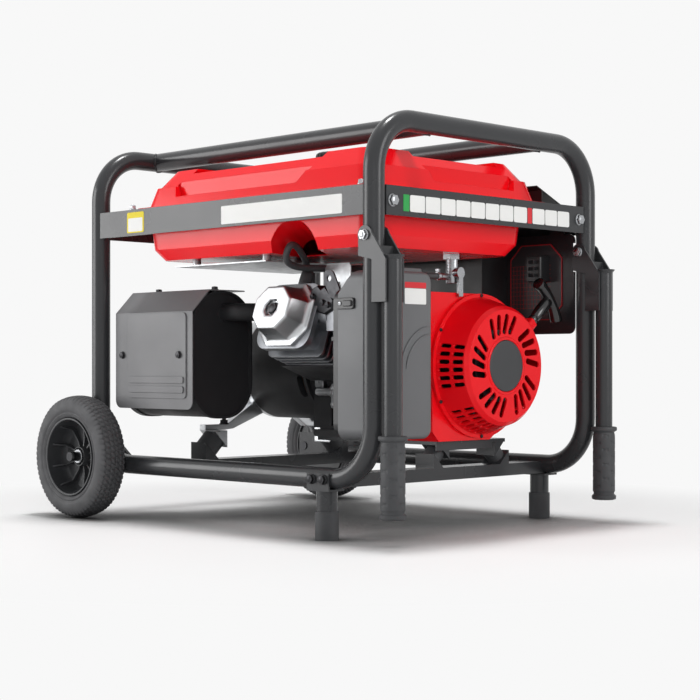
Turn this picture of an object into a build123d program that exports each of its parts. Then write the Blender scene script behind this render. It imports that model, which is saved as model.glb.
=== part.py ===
"""Portable generator: tube frame, engine, alternator, fuel tank and control panel.

X runs from the wheel end to the handle end, Y from the muffler side (left) to the
panel side (right) and Z up. Lengths are in millimetres. The origin lies on the floor
under the middle of the bounding box.
"""

import os
from math import acos, cos, degrees, radians, sin, sqrt

from build123d import *

os.makedirs("parts", exist_ok=True)

# Clearances
fit = 0.05  # radial clearance of a running fit
gap = 0.3  # room between parts that pass close by each other
sheet = 3.0  # thickness of brackets and angle bars

# Tube frame
tube_d = 32.0
tube_wall = 2.0
frame_length = 664.0  # between post centres, along X
frame_width = 510.0  # between post centres, along Y
rail_z = 93.0
top_z = 626.0
bend_r = 80.0
top_rail_spread = 266.0

# Wheels and axle
tyre_d = 210.0
tyre_width = 52.0
rim_d = 134.0
rim_wall = 4.0
web_depth = 40.0  # from the rim's outer edge in to the web
hub_d = 34.0
hub_length = 24.0
axle_d = 16.0
axle_stub = 19.0  # of the axle, past the hub
spoke_count = 10

# Feet
foot_x = 234.0  # from the middle of the frame
foot_cap_d = 36.0
foot_cap_height = 43.0

# Fold-up handles
pivot_z = 451.0
pivot_d = 10.0
bracket_drop = 98.0  # from the pivot down to the bracket's lower end
handle_d = 28.0
web_gap = 5.5  # between the post and the bracket's web
grip_d = 34.0
grip_flange_d = 43.0
grip_length = 121.0
grip_bottom_z = 39.0

# Tank shelf
shelf_height = 44.0
shelf_top_z = 526.0
shelf_leg = 28.0

# Cross members and mounts
member_width = 40.0
member_height = 20.0
member_top_z = 98.0
engine_mount_x = 230.0  # from the middle of the frame
alt_mount_x = -212.0
engine_mount_spread = 150.0
alt_mount_mid_y = 40.0
alt_mount_spread = 300.0
rubber_d = 30.0
rubber_height = 20.0
mount_face = 32.0  # width of the sloping mount faces
alt_rubber_d = 40.0
alt_rubber_height = 28.0
alt_mount_face = 42.0

# Engine
crank_y = 60.0
crank_z = 261.0
cylinder_tilt = 20.0  # above the horizontal
case_front_x = 150.0  # flywheel side of the crankcase, from the middle of the frame
case_length = 180.0
case_r = 86.0
case_cavity_r = 74.0
cylinder_back = 102.0  # cylinder axis behind the crankcase's flywheel side
lead_r = 5.5  # of the sleeved ignition lead
cover_depth = 18.0
bore_r = 45.0
fin_count = 6
head_start = 160.0  # along the cylinder axis, from the crank axis
head_length = 76.0
rocker_length = 41.0
fan_depth = 113.0
fan_r = 117.0
fan_wall = 2.5
recoil_depth = 58.0
recoil_face_r = 90.0
slot_r = 67.0
slot_length = 34.0
slot_width = 9.5
slot_lean = 16.0  # of the face slots, off the radius
pulley_r = 58.0
rope_d = 4.6
rope_angle = 38.0  # of the rope outlet, above the +Y direction
pull_r = 178.0  # from the crank axis to the pull handle's bar
shaft_r = 17.5
flywheel_r = 96.0
blade_count = 16

# Alternator
adapter_depth = 30.0
shell_length = 127.0
shell_r = 94.0
rotor_r = 59.0
air_gap = 0.8
end_cover_depth = 45.0

# Muffler
muffler_x = -195.0  # centre, from the middle of the frame
muffler_length = 194.0
muffler_height = 210.0
muffler_depth = 128.0
muffler_round = 58.0
muffler_y = -176.0
muffler_z = 279.5
pipe_d = 30.0

# Air cleaner
air_box_x = 300.0  # outer face, from the middle of the frame
air_box_depth = 72.0
air_box_width = 134.0
air_box_height = 256.0
air_box_y = -159.0
air_box_z = 277.0

# Fuel tank
tank_x = 37.0  # centre, from the middle of the frame
tank_length = 544.0
tank_y = -38.0
tank_width = 400.0
tank_round = 26.0
tank_ledge = 30.0  # from the bowl's right side to the top half's
tank_wall = 1.6
tank_bottom_z = 440.0
tank_top_z = 592.0
tank_flange = 14.0
tank_dish = 8.0  # depth of the lowered middle of the top
filler_x = 44.0
filler_y = -45.0
neck_r = 26.0
cap_r = 38.0

# Control panel
panel_x = 43.5  # centre, from the middle of the frame
panel_length = 557.0
panel_height = 168.0
panel_bottom_z = 315.0
panel_y = 238.0
panel_box_length = 390.0
panel_box_depth = 66.0
switch_lean = 11.0
breaker_lean = 20.0

# Derived frame positions
tube_r = tube_d / 2
axle_r = axle_d / 2
axle_z = tyre_d / 2
rim_r = rim_d / 2
handle_r = handle_d / 2
half_w = frame_width / 2
bend_reach = bend_r + tube_r + axle_r + 1.0
axle_back = sqrt(bend_reach**2 - (rail_z + bend_r - axle_z) ** 2) - bend_r
handle_off = tube_r + web_gap + sheet + handle_r - 0.5
reach_front = frame_length / 2 + handle_off + grip_flange_d / 2
reach_back = frame_length / 2 + axle_back + tyre_d / 2
mid = (reach_back - reach_front) / 2
wheel_post_x = mid - frame_length / 2
handle_post_x = mid + frame_length / 2
posts = (wheel_post_x, handle_post_x)
axle_x = wheel_post_x - axle_back
wheel_in = half_w + tube_r + 3.0
wheel_y = wheel_in + tyre_width / 2
bar_face = half_w + tube_r - 5.0
bar_inner = bar_face - shelf_leg

# Derived engine positions
tilt = radians(cylinder_tilt)
case_x1 = mid + case_front_x
case_x0 = case_x1 - case_length
cyl_x = case_x1 - cylinder_back
cover_x0 = case_x0 - cover_depth
adapter_x0 = cover_x0 - adapter_depth
shell_x0 = adapter_x0 - shell_length
end_x0 = shell_x0 - end_cover_depth
fan_x1 = case_x1 + fan_depth
recoil_x1 = fan_x1 + recoil_depth
slope = sqrt(0.5)
mount_top_z = member_top_z + (rubber_height + mount_face) * slope
alt_top_z = member_top_z + (alt_rubber_height + alt_mount_face) * slope
plate_top_z = mount_top_z + 6.0
engine_x = mid + engine_mount_x
alt_x = mid + alt_mount_x
pull_dir = (0, cos(radians(rope_angle)), sin(radians(rope_angle)))
across_dir = (0, -sin(radians(rope_angle)), cos(radians(rope_angle)))
rope_x = fan_x1 + 34.0


def save(builder, name):
    """Labels the piece and writes it under its own name."""
    builder.part.label = name
    export_step(builder.part, f"parts/{name}.step")


def crank_plane(x):
    """Plane across the crank axis at X, its own axes along Y and Z."""
    return Plane(origin=(x, crank_y, crank_z), x_dir=(0, 1, 0), z_dir=(1, 0, 0))


def on_cylinder(along, up=0.0, x=None):
    """Point at a distance along the cylinder axis, raised across it."""
    return (
        cyl_x if x is None else x,
        crank_y - along * cos(tilt) + up * sin(tilt),
        crank_z + along * sin(tilt) + up * cos(tilt),
    )


def cylinder_plane(along):
    """Plane across the cylinder axis."""
    direction = (0, -cos(tilt), sin(tilt))
    return Plane(origin=on_cylinder(along), x_dir=(1, 0, 0), z_dir=direction)


def around_crank(r, angle):
    """Y and Z of a point round the crank axis, the angle from +Y."""
    return crank_y + r * cos(radians(angle)), crank_z + r * sin(radians(angle))


def crank_ring(x0, x1, outer, inner=0.0):
    """Ring or disc about the crank axis, added to the open part."""
    with BuildSketch(crank_plane(x0)) as ring:
        Circle(outer)
        if inner > 0:
            Circle(inner, mode=Mode.SUBTRACT)
    extrude(ring.sketch, amount=x1 - x0)


def crank_cut(x0, x1, radius):
    """Round hole about the crank axis, cut from the open part."""
    with BuildSketch(crank_plane(x0)) as hole:
        Circle(radius)
    extrude(hole.sketch, amount=x1 - x0, mode=Mode.SUBTRACT)


def rod(start, towards, radius, length, mode=Mode.ADD):
    """Round bar from a point in a direction."""
    with BuildSketch(Plane(origin=start, z_dir=towards)) as section:
        Circle(radius)
    extrude(section.sketch, amount=length, mode=mode)


def hex_head(start, towards, across, height):
    """Hexagon bolt head standing on a face."""
    with BuildSketch(Plane(origin=start, z_dir=towards)) as section:
        RegularPolygon(across / 2, 6, major_radius=False)
    extrude(section.sketch, amount=height)


def block(x0, x1, y0, y1, z0, z1, mode=Mode.ADD):
    """Square block between two corners."""
    with BuildSketch(Plane.XY.offset(z0)) as section:
        with Locations(((x0 + x1) / 2, (y0 + y1) / 2)):
            Rectangle(x1 - x0, y1 - y0)
    extrude(section.sketch, amount=z1 - z0, mode=mode)


def prism_x(x0, x1, outline, mode=Mode.ADD):
    """Closed outline in Y and Z, drawn out along X."""
    with BuildSketch(Plane.YZ.offset(x0)) as section:
        with BuildLine():
            Polyline(*outline, close=True)
        make_face()
    extrude(section.sketch, amount=x1 - x0, mode=mode)


def prism_y(y0, y1, outline, mode=Mode.ADD):
    """Closed outline in X and Z, drawn out along Y."""
    with BuildSketch(Plane.XZ.offset(-y0)) as section:
        with BuildLine():
            Polyline(*outline, close=True)
        make_face()
    extrude(section.sketch, amount=y0 - y1, mode=mode)


def cut_posts():
    """Cuts the four post tubes out of the open part."""
    for x in posts:
        for side in (-1, 1):
            rod((x, side * half_w, rail_z), (0, 0, 1), tube_r, top_z - rail_z, Mode.SUBTRACT)


def lower_wedge(x, side, y, face, rubber):
    """Sloping mount face, welded on the cross member."""
    reach = slope * (face + rubber) / 2
    rise = slope * (face - rubber) / 2
    outline = (
        (y + side * reach, member_top_z),
        (y + side * reach, member_top_z + reach + rise),
        (y - side * rise, member_top_z),
    )
    prism_x(x - member_width / 2, x + member_width / 2, outline)


def upper_wedge(x, side, y, face, rubber):
    """Sloping face under an engine or alternator foot."""
    reach = slope * (face + rubber) / 2
    rise = slope * (face - rubber) / 2
    top = member_top_z + 2 * reach
    outline = (
        (y - side * reach, top),
        (y - side * reach, top - reach - rise),
        (y + side * rise, top),
    )
    prism_x(x - member_width / 2, x + member_width / 2, outline)


def leaned(points, pivot, angle):
    """Outline turned about a pivot in its own plane."""
    c, s = cos(radians(angle)), sin(radians(angle))
    moved = []
    for y, z in points:
        dy, dz = y - pivot[0], z - pivot[1]
        moved.append((pivot[0] + c * dy - s * dz, pivot[1] + s * dy + c * dz))
    return moved


engine_mounts = [
    (engine_x, s, crank_y + s * engine_mount_spread / 2, mount_face, rubber_height) for s in (-1, 1)
]
alt_mounts = [
    (alt_x, s, alt_mount_mid_y + s * alt_mount_spread / 2, alt_mount_face, alt_rubber_height) for s in (-1, 1)
]
mounts = engine_mounts + alt_mounts

# Frame hoops: each one tube, bent from a half rail up a post, across and back
for name, post_x in (("wheel_end_hoop", wheel_post_x), ("handle_end_hoop", handle_post_x)):
    with BuildPart() as hoop:
        with BuildLine() as route:
            FilletPolyline(
                (mid, -half_w, rail_z),
                (post_x, -half_w, rail_z),
                (post_x, -half_w, top_z),
                (post_x, half_w, top_z),
                (post_x, half_w, rail_z),
                (mid, half_w, rail_z),
                radius=bend_r,
            )
        with BuildSketch(Plane(origin=route.line @ 0, z_dir=route.line % 0)):
            Circle(tube_r)
            Circle(tube_r - tube_wall, mode=Mode.SUBTRACT)
        sweep()
        if post_x == handle_post_x:
            across = (post_x, -frame_width, pivot_z)
            rod(across, (0, 1, 0), pivot_d / 2 + gap, 2 * frame_width, Mode.SUBTRACT)
    save(hoop, name)

# Top rails, coped on to the hoops
with BuildPart() as top_rails:
    for side in (-1, 1):
        with BuildSketch(Plane.YZ.offset(wheel_post_x + tube_r / 4)):
            with Locations((side * top_rail_spread / 2, top_z)):
                Circle(tube_r)
                Circle(tube_r - tube_wall, mode=Mode.SUBTRACT)
        extrude(amount=frame_length - tube_r / 2)
    for x in posts:
        rod((x, -half_w, top_z), (0, 1, 0), tube_r, frame_width, Mode.SUBTRACT)
save(top_rails, "top_rails")

# Tank shelf: angle bars along both sides, across both ends and under the tank's right edge
shelf_z = shelf_top_z - shelf_height
tank_y0 = tank_y - tank_width / 2
tank_y1 = tank_y + tank_width / 2
inner_bar_y = tank_y1 + tank_flange / 2
with BuildPart() as shelf:
    for side in (-1, 1):
        outline = (
            (side * bar_face, shelf_z),
            (side * bar_face, shelf_top_z),
            (side * bar_inner, shelf_top_z),
            (side * bar_inner, shelf_top_z - sheet),
            (side * (bar_face - sheet), shelf_top_z - sheet),
            (side * (bar_face - sheet), shelf_z),
        )
        prism_x(wheel_post_x + 11, handle_post_x - 11, outline)
    for end, x in ((-1, wheel_post_x), (1, handle_post_x)):
        outline = (
            (x + end * 9, shelf_z),
            (x + end * 9, shelf_top_z),
            (x + end * (9 - shelf_leg), shelf_top_z),
            (x + end * (9 - shelf_leg), shelf_top_z - sheet),
            (x + end * (9 - sheet), shelf_top_z - sheet),
            (x + end * (9 - sheet), shelf_z),
        )
        prism_y(-bar_inner, bar_inner, outline)
        for side in (-1, 1):
            tab_x = sorted((x + end, x + end * (9 - sheet)))
            tab_y = sorted((side * (half_w - 43), side * (half_w - 8)))
            block(*tab_x, *tab_y, shelf_z + 8, shelf_z + 34)
    inner_outline = (
        (inner_bar_y, shelf_top_z),
        (inner_bar_y + shelf_leg, shelf_top_z),
        (inner_bar_y + shelf_leg, shelf_z + 12),
        (inner_bar_y + shelf_leg - sheet, shelf_z + 12),
        (inner_bar_y + shelf_leg - sheet, shelf_top_z - sheet),
        (inner_bar_y, shelf_top_z - sheet),
    )
    prism_x(wheel_post_x + shelf_leg - 9, handle_post_x - shelf_leg + 9, inner_outline)
    cut_posts()
save(shelf, "tank_shelf_bars")

# Base cross members with their sloping mount faces, and the axle brackets inside the hoop bends
with BuildPart() as members:
    for x in (engine_x, alt_x):
        with BuildSketch(Plane.XZ.offset(half_w)):
            with Locations((x, member_top_z - member_height / 2)):
                Rectangle(member_width, member_height)
                Rectangle(member_width - 4, member_height - 4, mode=Mode.SUBTRACT)
        extrude(amount=-frame_width)
    for side in (-1, 1):
        rod((wheel_post_x, side * half_w, rail_z), (1, 0, 0), tube_r, frame_length, Mode.SUBTRACT)
    for x in (engine_x, alt_x):
        for side in (-1, 1):
            y0, y1 = sorted((side * (half_w - tube_r / 4), side * frame_width))
            block(x - member_width, x + member_width, y0, y1, 0, rail_z + tube_r, Mode.SUBTRACT)
    for mount in mounts:
        lower_wedge(*mount)
    for side in (-1, 1):
        y0, y1 = sorted((side * (half_w - tube_r), side * (half_w - tube_r - 6)))
        outline = (
            (axle_x - 14, axle_z - 16),
            (axle_x - 14, axle_z + 26),
            (axle_x + 24, axle_z + 26),
            (axle_x + 64, axle_z - 2),
            (axle_x + 64, rail_z - 15),
        )
        prism_y(y0, y1, outline)
    rod((axle_x, -half_w, axle_z), (0, 1, 0), axle_r + fit, frame_width, Mode.SUBTRACT)
save(members, "base_cross_members")

# Rubber blocks between the sloping faces
with BuildPart() as rubber_mounts:
    for x, side, y, face, rubber in mounts:
        centre_z = member_top_z + slope * (face + rubber) / 2
        start = (x, y + side * slope * rubber / 2, centre_z - slope * rubber / 2)
        rod(start, (0, -side, 1), (rubber_d if x == engine_x else alt_rubber_d) / 2, rubber)
save(rubber_mounts, "rubber_mounts")

# Stub axles, held in their brackets
hub_in = wheel_in + 5
hub_out = hub_in + hub_length
axle_in = half_w - tube_r - 8
with BuildPart() as axle:
    for side in (-1, 1):
        rod((axle_x, side * axle_in, axle_z), (0, side, 0), axle_r, hub_out + axle_stub - axle_in)
save(axle, "axle")

# Wheels
for name, side in (("left", -1), ("right", 1)):
    wheel_plane = Plane(origin=(axle_x, side * wheel_y, axle_z), x_dir=(0, 1, 0), z_dir=(1, 0, 0))
    wheel_axis = Axis((axle_x, side * wheel_y, axle_z), (0, 1, 0))
    with BuildPart() as tyre:
        with BuildSketch(wheel_plane):
            with Locations((0, (rim_r + tyre_d / 2) / 2)):
                RectangleRounded(tyre_width, tyre_d / 2 - rim_r, 11)
        revolve(axis=wheel_axis)
    save(tyre, f"{name}_tyre")
    hub_mid = side * ((hub_in + hub_out) / 2 - wheel_y)
    rim_edge = tyre_width / 2 - 2
    web_at = rim_edge - web_depth
    with BuildPart() as rim:
        with BuildSketch(wheel_plane):
            with Locations((0, rim_r - rim_wall / 2)):
                Rectangle(2 * rim_edge, rim_wall)
            with Locations((side * (web_at - 2), (rim_r - 1 + axle_r) / 2)):
                Rectangle(4, rim_r - 1 - axle_r)
            with Locations((hub_mid, (hub_d / 2 + axle_r) / 2)):
                Rectangle(hub_length, hub_d / 2 - axle_r)
        revolve(axis=wheel_axis)
        spoke_at = (axle_x, side * (wheel_y + web_at - 1), axle_z)
        with BuildSketch(Plane(origin=spoke_at, x_dir=(1, 0, 0), z_dir=(0, side, 0))):
            with PolarLocations((rim_r - 2 + hub_d / 2 - 2) / 2, spoke_count):
                Rectangle(rim_r - hub_d / 2, 3)
        extrude(amount=9)
        rod((axle_x, -frame_width, axle_z), (0, 1, 0), axle_r + fit, 2 * frame_width, Mode.SUBTRACT)
    save(rim, f"{name}_rim")

# Feet at the handle end
foot = mid + foot_x
with BuildPart() as foot_posts:
    for side in (-1, 1):
        rod((foot, side * half_w, 6), (0, 0, 1), tube_r, rail_z - tube_r - sheet - 6)
        y0, y1 = sorted((side * (half_w - 14), side * (half_w + tube_r + sheet)))
        block(foot - 24, foot + 23, y0, y1, rail_z - tube_r - sheet, rail_z - tube_r)
        y0, y1 = sorted((side * (half_w + tube_r), side * (half_w + tube_r + sheet)))
        block(foot - 24, foot + 23, y0, y1, rail_z - tube_r, rail_z + 8)
save(foot_posts, "foot_posts")

with BuildPart() as foot_caps:
    for side in (-1, 1):
        rod((foot, side * half_w, 0), (0, 0, 1), foot_cap_d / 2, foot_cap_height)
        rod((foot, side * half_w, 6), (0, 0, 1), tube_r, foot_cap_height, Mode.SUBTRACT)
save(foot_caps, "foot_caps")

# Fold-up handles: a channel bracket that straddles the post, and a tube with a grip
plate_in = tube_r + 0.5
plate_out = plate_in + sheet
tube_top = pivot_z - 30
for name, side in (("left", -1), ("right", 1)):
    pivot_y = side * half_w
    tube_x = handle_post_x + handle_off
    with BuildPart() as handle:
        outline = (
            (handle_post_x - 13, pivot_z),
            (handle_post_x - 13, pivot_z - 30),
            (handle_post_x + 14, pivot_z - 36),
            (handle_post_x + 14, pivot_z - bracket_drop),
            (handle_post_x + handle_off + 4, pivot_z - bracket_drop),
            (handle_post_x + handle_off + 4, pivot_z - 36),
            (handle_post_x + 13, pivot_z + 4),
        )
        for y0, y1 in ((pivot_y - plate_out, pivot_y - plate_in), (pivot_y + plate_in, pivot_y + plate_out)):
            prism_y(y0, y1, outline)
            rod((handle_post_x, y0, pivot_z), (0, 1, 0), 14, sheet)
        web_x = handle_post_x + tube_r + web_gap
        web_z = (pivot_z - bracket_drop, pivot_z - tube_r - gap)
        block(web_x, web_x + sheet, pivot_y - plate_in, pivot_y + plate_in, *web_z)
        pivot_start = (handle_post_x, -frame_width, pivot_z)
        rod(pivot_start, (0, 1, 0), pivot_d / 2 + fit, 2 * frame_width, Mode.SUBTRACT)
        rod((tube_x, pivot_y, grip_bottom_z + 6), (0, 0, 1), handle_r, tube_top - grip_bottom_z - 6)
        rod((tube_x, pivot_y, grip_bottom_z), (0, 0, 1), handle_r - 2, tube_top, Mode.SUBTRACT)
    save(handle, f"{name}_handle")
    with BuildPart() as grip:
        rod((tube_x, pivot_y, grip_bottom_z), (0, 0, 1), grip_d / 2, grip_length)
        rod((tube_x, pivot_y, grip_bottom_z), (0, 0, 1), (grip_d + 6) / 2, 8)
        rod((tube_x, pivot_y, grip_bottom_z + grip_length - 6), (0, 0, 1), grip_flange_d / 2, 6)
        rod((tube_x, pivot_y, grip_bottom_z + 6), (0, 0, 1), handle_r, grip_length, Mode.SUBTRACT)
    save(grip, f"{name}_grip")

# Engine base plate with a front lip and its sloping feet
plate_y0 = crank_y - 90
plate_y1 = crank_y + engine_mount_spread / 2 + 8
with BuildPart() as base_plate:
    block(case_x0 + 10, engine_x + member_width / 2, plate_y0, plate_y1, mount_top_z, plate_top_z)
    lip_x = engine_x + member_width / 2
    block(lip_x, lip_x + sheet, plate_y0, crank_y + 46, mount_top_z - 9, plate_top_z)
    for mount in engine_mounts:
        upper_wedge(*mount)
save(base_plate, "engine_base_plate")

# Crankcase, cast in one with the finned cylinder
front_wall = 14.0
bearing_r = 36.0
with BuildPart() as crankcase:
    with BuildSketch(crank_plane(case_x0)):
        Circle(case_r)
        with Locations((0, (plate_top_z - crank_z) / 2)):
            Rectangle(150, crank_z - plate_top_z)
        with Locations((0, plate_top_z - crank_z + 6)):
            Rectangle(180, 12)
    extrude(amount=case_length)
    with BuildSketch(cylinder_plane(40)):
        Circle(bore_r + 13)
    extrude(amount=head_start - 40)
    fin_step = (head_start - 100) / fin_count
    for i in range(fin_count):
        with BuildSketch(cylinder_plane(98 + i * fin_step)):
            RectangleRounded(132, 116, 14)
        extrude(amount=3.5)
    crank_cut(case_x0, case_x1 - front_wall, case_cavity_r)
    crank_cut(case_x0, case_x1, bearing_r)
    with BuildSketch(cylinder_plane(0)):
        Circle(bore_r)
    extrude(amount=head_start, mode=Mode.SUBTRACT)
    dip_x = cyl_x + 62
    dip_dir = (0, -cos(tilt), sin(tilt))
    dip_in = (0, cos(tilt), -sin(tilt))
    dip_start = (dip_x, crank_y - 75 + 12, crank_z - 80)
    rod(dip_start, dip_dir, 15, 30)
    rod(dip_start, dip_dir, 9, 40, Mode.SUBTRACT)
    rod(dip_start, dip_in, 9, 30, Mode.SUBTRACT)
save(crankcase, "crankcase")

# Oil dipstick: a screw cap with a stick that stands in the filler
dip_face = tuple(dip_start[i] + 30 * dip_dir[i] for i in range(3))
with BuildPart() as dipstick:
    rod(dip_face, dip_dir, 17, 12)
    rod(dip_face, dip_in, 8.5, 20)
    rod(dip_face, dip_in, 3, 50)
save(dipstick, "oil_dipstick")

with BuildPart() as case_cover:
    with BuildSketch(crank_plane(cover_x0)):
        Circle(case_r)
        with Locations((0, (plate_top_z + 14 - crank_z) / 2)):
            Rectangle(146, crank_z - plate_top_z - 14)
        Circle(bearing_r, mode=Mode.SUBTRACT)
    extrude(amount=cover_depth)
save(case_cover, "crankcase_cover")

# Cylinder head with cooling fins, an exhaust boss and an intake boss
exhaust_at = on_cylinder(head_start + 54, 18)
intake_at = on_cylinder(head_start + 45, 10)
head_side = 66.0
with BuildPart() as head:
    with BuildSketch(cylinder_plane(head_start)):
        RectangleRounded(104, 92, 10)
    extrude(amount=head_length)
    for i in range(4):
        with BuildSketch(cylinder_plane(head_start + 2 + i * 12)):
            RectangleRounded(130, 116, 12)
        extrude(amount=4)
    with BuildSketch(cylinder_plane(head_start + head_length - 10)):
        RectangleRounded(124, 112, 24)
    extrude(amount=10)
    rod((cyl_x - head_side, *exhaust_at[1:]), (1, 0, 0), 20, 30)
    rod((cyl_x + head_side, *intake_at[1:]), (-1, 0, 0), 24, 30)
save(head, "cylinder_head")

# Rocker cover: an eight-sided hat with sloping sides and a bolt recess
rocker_start = head_start + head_length


def rocker_level(along, width, height, corner):
    """Eight-sided outline of the rocker cover across the cylinder axis."""
    w, h = width / 2, height / 2
    half = ((w, h - corner), (w - corner, h), (corner - w, h), (-w, h - corner))
    with BuildSketch(cylinder_plane(along)) as level:
        with BuildLine():
            Polyline(*half, *[(-x, -y) for x, y in half], close=True)
        make_face()
    return level.sketch


with BuildPart() as rocker:
    extrude(rocker_level(rocker_start, 128, 118, 32), amount=6)
    hat_foot = rocker_level(rocker_start + 6, 116, 106, 30)
    loft([hat_foot, rocker_level(rocker_start + rocker_length, 92, 82, 25)])
    hat_top = rocker.faces().sort_by(Axis((0, 0, 0), (0, -cos(tilt), sin(tilt))))[-1]
    fillet(hat_top.edges(), 5)
    with BuildSketch(cylinder_plane(rocker_start + rocker_length)):
        Circle(15)
    extrude(amount=-8, mode=Mode.SUBTRACT)
save(rocker, "rocker_cover")

# Air shroud under the cylinder
with BuildPart() as shroud:
    shroud_plane = cylinder_plane(92)
    with BuildSketch(shroud_plane):
        with Locations((0, -59)):
            Rectangle(136, 2)
    extrude(amount=head_start - 88)
save(shroud, "cylinder_shroud")

# Spark plug on the head's upper side
plug_x = cyl_x - 6
plug_along = 54.0
plug_base = on_cylinder(head_start + plug_along, 46, plug_x)
with BuildPart() as plug:
    hex_head(plug_base, (0, sin(tilt), cos(tilt)), 20, 10)
    rod(plug_base, (0, sin(tilt), cos(tilt)), 6.5, 26)
save(plug, "spark_plug")

# Fan cover: the blower housing round the flywheel, reaching over to the cylinder
duct_y = -148.0
foot_cut = plate_top_z - crank_z
with BuildPart() as fan_cover:
    for inset, x0, x1, mode in (
        (0, case_x1, fan_x1, Mode.ADD),
        (fan_wall, case_x1 + fan_wall, fan_x1 - fan_wall, Mode.SUBTRACT),
    ):
        with BuildSketch(crank_plane(x0)):
            Circle(fan_r - inset)
            with BuildLine():
                Polyline(
                    (duct_y + inset, -20 + inset),
                    (duct_y + inset, fan_r - 6 - inset),
                    (duct_y + 6 + inset, fan_r - inset),
                    (0, fan_r - inset),
                    (0, -20 + inset),
                    close=True,
                )
            make_face()
            with BuildLine():
                Polyline(
                    (inset - 112, -20),
                    (inset - 112, foot_cut + 16 + inset / 2),
                    (inset / 2 - 96, foot_cut + inset),
                    (28 - inset / 2, foot_cut + inset),
                    (62 - inset, foot_cut + 22 + inset / 2),
                    (62 - inset, -20),
                    close=True,
                )
            make_face()
        extrude(amount=x1 - x0, mode=mode)
    crank_cut(case_x1, case_x1 + fan_wall, 70)
    crank_cut(fan_x1 - fan_wall, fan_x1, fan_r - 12)
    with BuildSketch(crank_plane(case_x1)):
        with Locations((-112, 44)):
            Rectangle(56, 110)
    extrude(amount=fan_wall, mode=Mode.SUBTRACT)
save(fan_cover, "fan_cover")

# Recoil starter housing: a slotted dome with a rope outlet and the pulley's post
post_r = 8.0
lug_end = 117.0
with BuildPart() as recoil:
    with BuildSketch(Plane(origin=(0, crank_y, crank_z), x_dir=(1, 0, 0), z_dir=(0, -1, 0))):
        with BuildLine():
            Polyline(
                (fan_x1, fan_r),
                (fan_x1 + 6, fan_r),
                (fan_x1 + 6, fan_r - 6),
                (recoil_x1 - 6, recoil_face_r + 6),
                (recoil_x1, recoil_face_r),
                (recoil_x1, 0),
                (recoil_x1 - 3, 0),
                (recoil_x1 - 3, recoil_face_r - 2),
                (recoil_x1 - 8, recoil_face_r + 3),
                (fan_x1, fan_r - 9),
                close=True,
            )
        make_face()
    revolve(axis=Axis((0, crank_y, crank_z), (1, 0, 0)))
    lug_y, lug_z = around_crank(recoil_face_r + 8, rope_angle)
    with BuildSketch(Plane(origin=(rope_x, lug_y, lug_z), x_dir=(1, 0, 0), z_dir=pull_dir)):
        RectangleRounded(20, 17, 4)
    extrude(amount=lug_end - recoil_face_r - 8)
    inner_y, inner_z = around_crank(pulley_r + 10, rope_angle)
    rod((rope_x, inner_y, inner_z), pull_dir, rope_d / 2 + 1.2, 80, Mode.SUBTRACT)
    with BuildSketch(crank_plane(recoil_x1)):
        for group in range(5):
            for k in range(4):
                angle = 98 + group * 72 + (k - 1.5) * 14.5
                spot = (slot_r * cos(radians(angle)), slot_r * sin(radians(angle)))
                with Locations(Location(spot, angle - slot_lean)):
                    SlotOverall(slot_length, slot_width)
    extrude(amount=-6, mode=Mode.SUBTRACT)
    for group_angle in (180, 241, 299):
        for k in range(6):
            angle = radians(group_angle + (k - 2.5) * 7)
            radial = (0, cos(angle), sin(angle))
            start = (0, crank_y + 84 * cos(angle), crank_z + 84 * sin(angle))
            with BuildSketch(Plane(origin=start, x_dir=(1, 0, 0), z_dir=radial)):
                with Locations((fan_x1 + 19, 0), (fan_x1 + 41, 0)):
                    SlotOverall(19, 7)
            extrude(amount=40, mode=Mode.SUBTRACT)
    crank_ring(rope_x - 14, recoil_x1 - 2, post_r)
save(recoil, "recoil_housing")

# Rope pulley on its post
groove_r = pulley_r - 6
with BuildPart() as pulley:
    crank_ring(rope_x - 9, rope_x - 4, pulley_r)
    crank_ring(rope_x - 4, rope_x + 4, groove_r)
    crank_ring(rope_x + 4, rope_x + 9, pulley_r)
    crank_ring(rope_x - 12, recoil_x1 - 3 - gap, 16)
    crank_cut(rope_x - 40, recoil_x1, post_r + fit)
    for i in range(5):
        y, z = around_crank(34, 72 * i)
        rod((rope_x - 20, y, z), (1, 0, 0), 9, 40, Mode.SUBTRACT)
save(pulley, "recoil_pulley")

# Starter rope: off the pulley, round the outlet and into the pull handle
bend_at = pulley_r + 26
wind_r = groove_r + rope_d / 2 + gap
off_angle = rope_angle + degrees(acos(wind_r / bend_at))
stem_start = lug_end + 2.0
with BuildPart() as rope:
    with BuildLine() as route:
        FilletPolyline(
            (rope_x, *around_crank(wind_r, off_angle)),
            (rope_x, *around_crank(bend_at, rope_angle)),
            (rope_x, *around_crank(stem_start + 14, rope_angle)),
            radius=8,
        )
    with BuildSketch(Plane(origin=route.line @ 0, z_dir=route.line % 0)):
        Circle(rope_d / 2)
    sweep()
save(rope, "starter_rope")

# Pull handle: a cone on the rope and a cross bar
with BuildPart() as pull:
    stem_at = (rope_x, *around_crank(stem_start, rope_angle))
    rod(stem_at, pull_dir, 8, pull_r - stem_start)
    bar_at = tuple(
        (rope_x, *around_crank(pull_r, rope_angle))[i] - 42 * across_dir[i] for i in range(3)
    )
    rod(bar_at, across_dir, 10, 84)
    fillet(pull.edges().filter_by(GeomType.CIRCLE).filter_by(lambda e: e.radius > 9.5), 4)
    rod(stem_at, pull_dir, rope_d / 2 + 0.5, 16, Mode.SUBTRACT)
save(pull, "pull_handle")

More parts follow.
